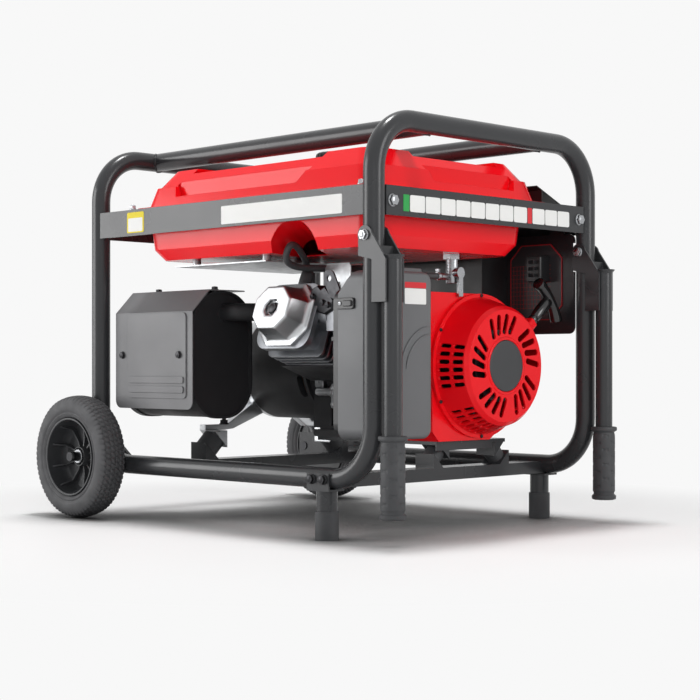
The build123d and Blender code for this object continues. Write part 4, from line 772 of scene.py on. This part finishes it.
class GENERATOR_OT_cords(bpy.types.Operator):
    """Lay the sleeved ignition lead with its boot, and the fuel hose with its clips"""

    bl_idname = "generator.cords"
    bl_label = "Lead and hose"

    def execute(self, context):
        lead = [(64.8, -113.7, 409.4), (64.8, -107.9, 425.3), (123.8, -204, 464), (88.8, -191, 420),
                (88.8, -96, 420), (202.8, -28, 420), (202.8, -28, 378)]
        line = route_line("ignition_lead_sleeve", lead, 5.5, "moulded_rubber")
        up = Vector((0, sin(CYLINDER_LEAN), cos(CYLINDER_LEAN)))
        boot = bmesh.new()
        foot = Vector((64.8, -121.8, 387.3))
        turned(boot, [(0, 9), (0.6, 10.4), (3, 11), (9, 11), (10, 10.2), (11, 11), (24, 10.6), (30, 9.4),
                      (34, 8.2), (37, 7.2), (38, 6.2), (38, 0.1)], facing(foot, up, (1, 0, 0)), 32)
        shell = piece("plug_boot", boot, "moulded_rubber", stands_for=("ignition_lead",))
        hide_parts("ignition_lead")

        hose = [(272.8, -18, 404), (272.8, -60, 404), (173.8, -60, 404), (173.8, -121.2, 404),
                (173.8, -121.2, 376.5)]
        pipe = route_line("fuel_hose_tube", hose, 5.0, "moulded_rubber")
        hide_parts("fuel_hose")
        clips = bmesh.new()
        for point, along in (((272.8, -24, 404), (0, 1, 0)), ((173.8, -121.2, 382), (0, 0, 1))):
            place = facing(point, along)
            turned(clips, [(-3, 5.1), (-3, 6.2), (-2.4, 6.6), (2.4, 6.6), (3, 6.2), (3, 5.1)], place, 28)
            for tail in (-1, 1):
                drawn(clips, rounded(2.4, 6, 0.8, 3, (tail * 1.8, 8.6)),
                      place @ Matrix.Translation((0, 0, -2.4)), 4.8, 0.3)
        bands = piece("hose_clips", clips, "zinc_plated_steel")
        return {"FINISHED"}


class GENERATOR_OT_rims(bpy.types.Operator):
    """Model both deep-dish wheel rims with their ribs and ribbed hubs"""

    bl_idname = "generator.rims"
    bl_label = "Rims"

    def execute(self, context):
        for name, side in (("left", -1), ("right", 1)):
            low, high = span(f"{name}_rim")
            rim_r = (high.z - low.z) / 2
            edge = (high.y - low.y) / 2
            web = edge - 40.0
            place = facing(middle(f"{name}_tyre"), (0, side, 0))
            profile = [
                (edge, rim_r - 0.4), (edge, rim_r - 2.4), (edge - 1.0, rim_r - 3.6), (edge - 6, rim_r - 4),
                (web + 16, rim_r - 5), (web + 6, rim_r - 6.4), (web + 1.4, rim_r - 10), (web, rim_r - 15),
                (web, 19.0), (web + 2, 17.2), (web + 18, 17.0), (web + 19, 16.6), (web + 19, 15.2),
                (web + 13, 15.0), (web + 13, 11.0), (web + 19, 10.8), (web + 19, 8.2), (web - 5, 8.2),
                (web - 5, 17.0), (web - 4, 18.0), (web - 4, rim_r - 5), (-edge, rim_r - 3),
                (-edge, rim_r - 0.4),
            ]
            shape = bmesh.new()
            skin(shape, [round_row(place, along, radius, 96) for along, radius in profile], closed_round=True)
            rib = [(17.0, web - 1), (17.0, web + 9), (30.0, web + 7), (rim_r - 14, web + 9),
                   (rim_r - 7, web + 26), (rim_r - 4, web + 31), (rim_r - 3.4, web - 1)]
            fin = [(10.6, web + 12.5), (15.4, web + 12.5), (15.4, web + 18), (10.6, web + 18)]
            for outline, count, first, thick in ((rib, 10, 18, 2.6), (fin, 12, 0, 1.2)):
                for i in range(count):
                    turn = Matrix.Rotation(radians(360 / count * i + first), 4, "Z")
                    upright = turn @ Matrix.Rotation(radians(90), 4, "X")
                    drawn(shape, outline, place @ upright @ Matrix.Translation((0, 0, -thick / 2)), thick)
            piece(f"{name}_rim_dish", shape, "polypropylene", f"{name}_wheel",
                  (f"{name}_rim",), sharp=35)
        axle, axle_end = middle("axle"), span("axle")[1].y
        tips = bmesh.new()
        for side in (-1, 1):
            end = facing((axle.x, side * axle_end, axle.z), (0, side, 0))
            turned(tips, [(-5.0, 8.1), (-0.9, 8.1), (-0.1, 7.2), (-0.1, 0.1)], end, 28)
        piece("axle_tips", tips, "machined_steel")
        return {"FINISHED"}


class GENERATOR_OT_panel_trim(bpy.types.Operator):
    """Dress the control panel: the board behind it, the switch body, the meter face and its screws"""

    bl_idname = "generator.panel_trim"
    bl_label = "Control panel trim"

    def execute(self, context):
        low, high = span("panel_fascia")
        back = side_plane(low.y)
        right = high.x - 25.0
        left = right - 112.0
        board = octagon(left, right, 339, 468, 24)
        field = bmesh.new()
        drawn(field, board, back, 0.8)
        piece("panel_back_board", field, "panel_board")
        line = bmesh.new()
        hollow(line, board, octagon(left + 1.6, right - 1.6, 340.6, 466.4, 23.4), back, 1.5)
        pitch = 7.2
        bars = [((left + pitch * i, 395), 0.7, 74) for i in range(1, 12)]
        bars += [((right - 66, 360 + pitch * i), 84, 0.7) for i in range(11)]
        for spot, width, height in bars:
            inner = rounded(width - 0.4, height - 0.4, 0.1, 1, spot)
            hollow(line, rounded(width, height, 0.2, 1, spot), inner, back, 1.0)
        piece("panel_back_print", line, "red_print")

        switch = middle("engine_switch")
        spot = (switch.x, switch.z)
        case = bmesh.new()
        wall = rounded(30, 44, 3, 4, spot)
        hollow(case, wall, rounded(26, 40, 3, 4, spot), back, 20)
        drawn(case, wall, side_plane(low.y - 19), 7, 1.2)
        for dx in (-6, 6):
            for dz in (-11, 0, 11):
                blade = rounded(1.6, 6, 0.5, 2, (switch.x + dx, switch.z + dz))
                drawn(case, blade, side_plane(low.y - 26), 7)
        piece("switch_back", case, "grained_abs_black")

        face_y = low.y + 3.0
        meter = facing((0, face_y, 0), (0, 1, 0)) @ Matrix.Translation((-127.75, 431.0, 0))
        dial = bmesh.new()
        turned(dial, [(4.0, 19.5), (4.2, 19.5), (4.2, 0.1)], meter, 48)
        piece("meter_dial", dial, "white_vinyl_film")
        marks = bmesh.new()
        turned(marks, [(3.8, 19.6), (6.4, 20.4), (7.0, 22.0), (6.0, 23.4), (3.8, 23.6)], meter, 48)
        ticks = meter @ Matrix.Translation((0, 0, 4.2))
        for i in range(11):
            turn = Matrix.Rotation(radians(150 - 12 * i), 4, "Z")
            drawn(marks, rounded(4, 0.8, 0.2, 1, (15.5, 0)), ticks @ turn, 0.3)
        needle = meter @ Matrix.Translation((0, 0, 4.4)) @ Matrix.Rotation(radians(150), 4, "Z")
        drawn(marks, [(-3, -0.8), (15, -0.2), (15, 0.2), (-3, 0.8)], needle, 0.4)
        for x in (low.x + 14, high.x - 20):
            for z in (low.z + 14, low.z + 154):
                screw(marks, (x, face_y, z), (0, 1, 0), 3.6, 2.2)
        piece("meter_bezel", marks, "grained_abs_black")
        return {"FINISHED"}


class GENERATOR_OT_air_cleaner_trim(bpy.types.Operator):
    """Add the curved ridges, the top tab and the snap latch to the air cleaner cover"""

    bl_idname = "generator.air_cleaner_trim"
    bl_label = "Air cleaner trim"

    def execute(self, context):
        low, high = span("air_cleaner_cover")
        ridges = bmesh.new()
        for reach in (60.0, 72.0):
            arc = []
            for i in range(33):
                angle = radians(97 + 77 * i / 32)
                arc.append((high.x + 0.2, high.y + reach * cos(angle), 250 + reach * sin(angle)))
            ends = [smooth(i, -1, 5) * (1 - smooth(i, 27, 33)) for i in range(33)]
            swept(ridges, arc, [0.5 + 1.3 * end for end in ends], 12)
        tab = facing((high.x - 26, -121, high.z - 4), (0, 0, 1), (0, 1, 0))
        drawn(ridges, rounded(24, 43, 4), tab, 10, 1.5)
        piece("cover_ridges", ridges, "grained_abs_grey")
        latch = bmesh.new()
        side = facing((low.x + 18, low.y + 0.4, 355), (0, -1, 0))
        drawn(latch, rounded(37, 17, 4), side, 4, 1.2)
        drawn(latch, rounded(20, 9, 3, 4, (6, 0)), side, 6.5, 1.5)
        piece("cover_latch", latch, "grained_abs_black")
        rivet = bmesh.new()
        screw(rivet, (low.x + 8, low.y - 3.4, 355), (0, -1, 0), 3.2, 2.0)
        piece("latch_screw", rivet, "zinc_plated_steel")
        return {"FINISHED"}


class GENERATOR_OT_engine_trim(bpy.types.Operator):
    """Add the governor plate, the throttle bracket, the lever and the case fittings to the engine"""

    bl_idname = "generator.engine_trim"
    bl_label = "Engine trim"

    def execute(self, context):
        carb_face = span("carburettor")[0].y
        sheet = bmesh.new()
        outline = [(106, 397), (106, 420), (111, 427), (160, 427), (164, 423), (164, 368), (147, 368),
                   (140, 397)]
        drawn(sheet, outline, side_plane(carb_face + 43), 2.0)
        piece("governor_plate", sheet, "galvanised_sheet")

        dark = bmesh.new()
        seat = carb_face - 3.0
        bracket = [(116, 352), (112, 366), (118, 384), (132, 390), (140, 384), (150, 388), (160, 378),
                   (170, 364), (166, 350), (150, 342), (134, 346)]
        drawn(dark, bracket, side_plane(seat + 22), 22, 3)
        lean = facing((168, seat, 390), (0, -1, 0)) @ Matrix.Rotation(radians(28), 4, "Z")
        hollow(dark, rounded(25, 48, 12, 8), rounded(10, 10, 5, 8, (0, 11)), lean, 3.0)
        for x, z in ((124, 372), (146, 362), (158, 358)):
            bolt(dark, (x, seat, z), (0, -1, 0), 8, 5)
        side = CRANK[1] - 75.0
        lever = [(52, 236), (60, 240), (68, 234), (92, 196), (88, 188), (80, 190), (56, 226)]
        drawn(dark, lever, side_plane(side - 14), 3, 0.6)
        turned(dark, [(0, 9), (12, 9), (14, 7), (18, 7)], facing((60, side, 233), (0, -1, 0)), 24)
        for x in (24, 52, 84, 112):
            drawn(dark, rounded(5, 62, 1.5, 3, (x, 190)), side_plane(side), 5, 1.0)
        piece("throttle_bracket", dark, "black_oxide_steel")

        bright = bmesh.new()
        turned(bright, [(-22, 6.6), (-20, 7.2), (10, 7.2), (12, 9), (18, 9), (20, 6), (24, 6)],
               facing((20, side - 10, 217), (1, 0, 0)), 28)
        drawn(bright, rounded(20, 24, 3, 4, (6, 236)), side_plane(side), 16, 1.5)
        drawn(bright, rounded(14, 42, 3, 4, (43, 210)), side_plane(side), 16, 1.0)
        for x, y, z, across, height in ((6, side - 16, 238, 10, 6), (43, side - 16, 196, 8, 5),
                                        (43, side - 16, 224, 8, 5), (100, side, 156, 14, 10)):
            bolt(bright, (x, y, z), (0, -1, 0), across, height)
        piece("case_fittings", bright, "galvanised_sheet")
        return {"FINISHED"}


class GENERATOR_OT_rocker_cover(bpy.types.Operator):
    """Model the rocker cover with its flange, its soft shoulders and the bolt's recess"""

    bl_idname = "generator.rocker_cover"
    bl_label = "Rocker cover"

    def execute(self, context):
        foot = Vector((middle("rocker_cover").x, *CRANK[1:])) + CYLINDER_OUT * 236.0
        place = facing(foot, CYLINDER_OUT)
        # Along the cylinder, width, height, corner cut and corner radius
        levels = [(0.0, 127.4, 117.4, 32, 7), (4.4, 128, 118, 32, 7), (5.6, 127, 117, 31.6, 7),
                  (6.0, 124, 114, 31, 7), (6.2, 118, 108, 30.2, 8), (7.2, 115.6, 105.6, 30, 9),
                  (9.0, 114.0, 104.0, 29.6, 10)]
        for i in range(8):
            t = (i + 1) / 8
            levels.append((9 + 28.5 * t, 114 - 12 * t, 104 - 10.5 * t, 29.6 - 2.6 * t, 10 + t))
        levels += [(39.6, 100.4, 92.0, 26.6, 11), (40.6, 98.4, 90.0, 26, 11), (41.0, 95.5, 87.0, 25.4, 10),
                   (41.0, 92.0, 83.5, 24.6, 10)]
        rows = []
        for along, width, height, corner, radius in levels:
            w, h = width / 2, height / 2
            outline = eased(octagon(-w, w, -h, h, corner), radius)
            rows.append([place @ Vector((*point, along)) for point in outline])
        turns = [atan2(y, x) for x, y in outline]
        recess = ((41.0, 22), (41.0, 17.4), (40.4, 15.8), (39.4, 15.2), (34.0, 14.6), (33.2, 14.0), (33.2, 2))
        for along, radius in recess:
            rows.append([place @ Vector((radius * cos(turn), radius * sin(turn), along)) for turn in turns])
        shape = bmesh.new()
        grid = skin(shape, rows)
        shape.faces.new(grid[0])
        shape.faces.new(grid[-1])
        piece("rocker_cover_casting", shape, "die_cast_aluminium",
              stands_for=("rocker_cover",), sharp=50)
        return {"FINISHED"}


class GENERATOR_OT_frame_trim(bpy.types.Operator):
    """Lay the weld beads on the frame and flare the tops of the handle tubes"""

    bl_idname = "generator.frame_trim"
    bl_label = "Frame trim"

    def execute(self, context):
        bead = context.scene.generator_sizes.weld_size / MM
        low, high = span("top_rails")
        tube = (high.z - low.z) / 2
        spread = (high.y - low.y) / 2 - tube
        level = (low.z + high.z) / 2
        wheel_post = span("wheel_end_hoop")[0].x + tube
        handle_post = span("handle_end_hoop")[1].x - tube
        steps = 64
        welds = bmesh.new()
        for post, way in ((wheel_post, 1), (handle_post, -1)):
            for side in (-1, 1):
                ring = []
                for i in range(steps + 1):
                    angle = 2 * pi * i / steps
                    # The bead stays under the top of the rail
                    rise = min((tube + 0.4) * sin(angle), tube - 0.8 * bead)
                    ring.append((post + way * (tube * abs(cos(angle)) + 1.0),
                                 side * spread + (tube + 0.4) * cos(angle), level + rise))
                swept(welds, ring, [bead * (0.62 + 0.12 * cos(26 * i)) for i in range(steps + 1)], 10)
        piece("weld_beads", welds, "powder_coated_steel")
        flare = [(0, 14.1), (0, 14.6), (-2, 15.0), (-3.5, 16.4), (-5.0, 17.6), (-6.5, 18.0), (-6.5, 14.1)]
        for name in ("left", "right"):
            grip = middle(f"{name}_grip")
            foot = span(f"{name}_handle")[1].z - 50.5
            collar = bmesh.new()
            turned(collar, flare, facing((grip.x, grip.y, foot), (0, 0, -1)), 48)
            piece(f"{name}_tube_flare", collar, "powder_coated_steel", f"{name}_fold_handle")
        return {"FINISHED"}


class GENERATOR_OT_fuel_cap(bpy.types.Operator):
    """Model the knurled fuel cap"""

    bl_idname = "generator.fuel_cap"
    bl_label = "Fuel cap"

    def execute(self, context):
        low, high = span("fuel_cap")
        centre = (low + high) / 2
        reach = (high.x - low.x) / 2
        tall = high.z - low.z
        profile = [(0, 26.6), (0, reach - 1.4), (0.8, reach - 0.6), (tall - 5, reach - 1.0),
                   (tall - 2, reach - 2.4), (tall - 0.4, reach - 5), (tall, reach - 8),
                   (tall - 1.5, reach - 10), (tall - 1.5, 0.1)]
        around, notches = 144, 24
        rows = []
        for z, r in profile:
            row = []
            for k in range(around):
                turn = 2 * pi * k / around
                grip = 0.5 + 0.5 * cos(turn * notches)
                cut = 1.6 * smooth(grip, 0.2, 0.8) if 0.5 < z < tall - 1 and r > reach - 3 else 0.0
                row.append((centre.x + (r - cut) * cos(turn), centre.y + (r - cut) * sin(turn), low.z + z))
            rows.append(row)
        shape = bmesh.new()
        shape.faces.new(skin(shape, rows)[-1])
        piece("fuel_cap_knurled", shape, "grained_abs_black", "cap", ("fuel_cap",))
        return {"FINISHED"}


def seen_rays(tree):
    """1 for rays that the camera, a reflection or clear material sends, 0 for the rest."""
    path = add_node(tree, "ShaderNodeLightPath", {}).outputs
    seen = path["Is Camera Ray"]
    for kind in ("Is Glossy Ray", "Is Transmission Ray"):
        seen = add_node(tree, "ShaderNodeMath", {0: seen, 1: path[kind]}, operation="MAXIMUM").outputs[0]
    return seen


class GENERATOR_OT_stage(bpy.types.Operator):
    """Set the pale floor with its painted shadow, the soft lamps, the sky light and the camera"""

    bl_idname = "generator.stage"
    bl_label = "Stage"

    def execute(self, context):
        scene = context.scene
        scene.view_settings.view_transform = "Standard"
        pale = linear("#f8f8f8")
        mesh = bpy.data.meshes.new("floor")
        reach = 30.0
        mesh.from_pydata([(-reach, -reach, 0), (reach, -reach, 0), (reach, reach, 0), (-reach, reach, 0)],
                         [], [(0, 1, 2, 3)])
        floor = bpy.data.objects.new("floor", mesh)
        scene.collection.objects.link(floor)
        # Studio floor: near the object it takes the lamps' shadow and also a painted shadow, its colour
        # darkened where ambient occlusion finds the object close by; further off it is the backdrop's white
        paint = bpy.data.materials.new("studio_floor_with_painted_shadow")
        paint.use_nodes = True
        tree = paint.node_tree
        shader = tree.nodes["Principled BSDF"]
        shader.inputs["Roughness"].default_value = 0.6
        shader.inputs["Specular IOR Level"].default_value = 0.1
        # Painted shadow: ambient occlusion turns the floor's colour towards dark grey under and round the
        # object
        near = add_node(tree, "ShaderNodeAmbientOcclusion", {"Distance": 0.26}, samples=8).outputs["AO"]
        shaded = {"Value": near, "From Min": 0.46, "From Max": 0.84}
        painted_shadow = add_node(tree, "ShaderNodeMapRange", shaded).outputs["Result"]
        tones = {"Factor": painted_shadow, "A": linear("#2e2e2e"), "B": pale}
        painted_shadow_mix = add_node(tree, "ShaderNodeMix", tones, data_type="RGBA")
        tree.links.new(painted_shadow_mix.outputs["Result"], shader.inputs["Base Color"])
        place = add_node(tree, "ShaderNodeTexCoord", {}).outputs["Object"]
        distance = add_node(tree, "ShaderNodeVectorMath", {0: place}, operation="LENGTH").outputs["Value"]
        far = add_node(tree, "ShaderNodeMapRange", {"Value": distance, "From Min": 0.6, "From Max": 1.05},
                       interpolation_type="SMOOTHSTEP").outputs["Result"]
        share = add_node(tree, "ShaderNodeMath", {0: far, 1: seen_rays(tree)}, operation="MULTIPLY")
        white = add_node(tree, "ShaderNodeEmission", {"Color": pale, "Strength": 1.0})
        both = add_node(tree, "ShaderNodeMixShader", {0: share.outputs[0], 1: shader.outputs[0],
                                                      2: white.outputs[0]})
        tree.links.new(both.outputs[0], tree.nodes["Material Output"].inputs["Surface"])
        mesh.materials.append(paint)

        world = bpy.data.worlds.new("studio")
        scene.world = world
        world.use_nodes = True
        tree = world.node_tree
        tree.nodes.clear()
        fill = add_node(tree, "ShaderNodeBackground", {"Color": linear("#ffffff"), "Strength": 0.17})
        back = add_node(tree, "ShaderNodeBackground", {"Color": pale, "Strength": 1.0})
        both = add_node(tree, "ShaderNodeMixShader", {0: seen_rays(tree), 1: fill.outputs[0],
                                                      2: back.outputs[0]})
        add_node(tree, "ShaderNodeOutputWorld", {"Surface": both.outputs[0]})

        def lamp(name, place, aim, size, power, mirrored=True):
            light = bpy.data.lights.new(name, "AREA")
            light.shape = "RECTANGLE"
            light.size, light.size_y = size
            light.energy = power
            lit = bpy.data.objects.new(name, light)
            lit.location = place
            lit.rotation_euler = (Vector(aim) - Vector(place)).to_track_quat("-Z", "Y").to_euler()
            lit.visible_glossy = mirrored
            scene.collection.objects.link(lit)

        lamp("key_softbox", (-2.1, -2.3, 0.95), (0, 0, 0.3), (1.9, 1.7), 51)
        lamp("top_softbox", (-0.05, 0.05, 3.4), (0, 0, 0.3), (0.5, 0.5), 63)
        lamp("side_softbox", (2.9, 0.5, 1.2), (0, 0, 0.35), (0.9, 1.6), 26)
        lamp("front_softbox", (2.2, -2.1, 0.75), (0, 0, 0.3), (1.2, 0.8), 23, mirrored=False)

        camera = bpy.data.cameras.new("camera")
        camera.sensor_width = 36.0
        camera.lens = 83.06
        camera.shift_y = 16 / 700
        shot = bpy.data.objects.new("camera", camera)
        shot.location = (1.9933, -1.9427, 0.2608)
        shot.rotation_euler = (radians(90), 0, radians(45))
        scene.collection.objects.link(shot)
        scene.camera = shot
        return {"FINISHED"}


class GENERATOR_PT_sidebar(bpy.types.Panel):
    """Lists the generator's steps and its settings in the sidebar"""

    bl_idname = "GENERATOR_PT_sidebar"
    bl_label = "Generator"
    bl_space_type = "VIEW_3D"
    bl_region_type = "UI"
    bl_category = "Generator"

    def draw(self, context):
        for step in STEPS:
            self.layout.operator(step.bl_idname)
        for settings in (context.scene.generator_colours, context.scene.generator_sizes):
            for name in settings.__annotations__:
                self.layout.prop(settings, name)


STEPS = (
    GENERATOR_OT_finishes,
    GENERATOR_OT_cords,
    GENERATOR_OT_pull_handle,
    GENERATOR_OT_tyres,
    GENERATOR_OT_rims,
    GENERATOR_OT_grips,
    GENERATOR_OT_bolts,
    GENERATOR_OT_plates,
    GENERATOR_OT_recoil_badge,
    GENERATOR_OT_panel_trim,
    GENERATOR_OT_air_cleaner_trim,
    GENERATOR_OT_engine_trim,
    GENERATOR_OT_rocker_cover,
    GENERATOR_OT_frame_trim,
    GENERATOR_OT_fuel_cap,
    GENERATOR_OT_stage,
)
CLASSES = (GeneratorColours, GeneratorSizes, *STEPS, GENERATOR_PT_sidebar)


def register():
    """Registers the classes and hangs the settings on the scene."""
    for kind in CLASSES:
        bpy.utils.register_class(kind)
    bpy.types.Scene.generator_colours = bpy.props.PointerProperty(type=GeneratorColours)
    bpy.types.Scene.generator_sizes = bpy.props.PointerProperty(type=GeneratorSizes)


def unregister():
    """Takes the settings and the classes away again."""
    del bpy.types.Scene.generator_sizes
    del bpy.types.Scene.generator_colours
    for kind in reversed(CLASSES):
        bpy.utils.unregister_class(kind)


def main():
    """Runs each operator in order."""
    register()
    for step in STEPS:
        getattr(bpy.ops.generator, step.bl_idname.split(".")[1])()


if __name__ == "__main__":
    main()
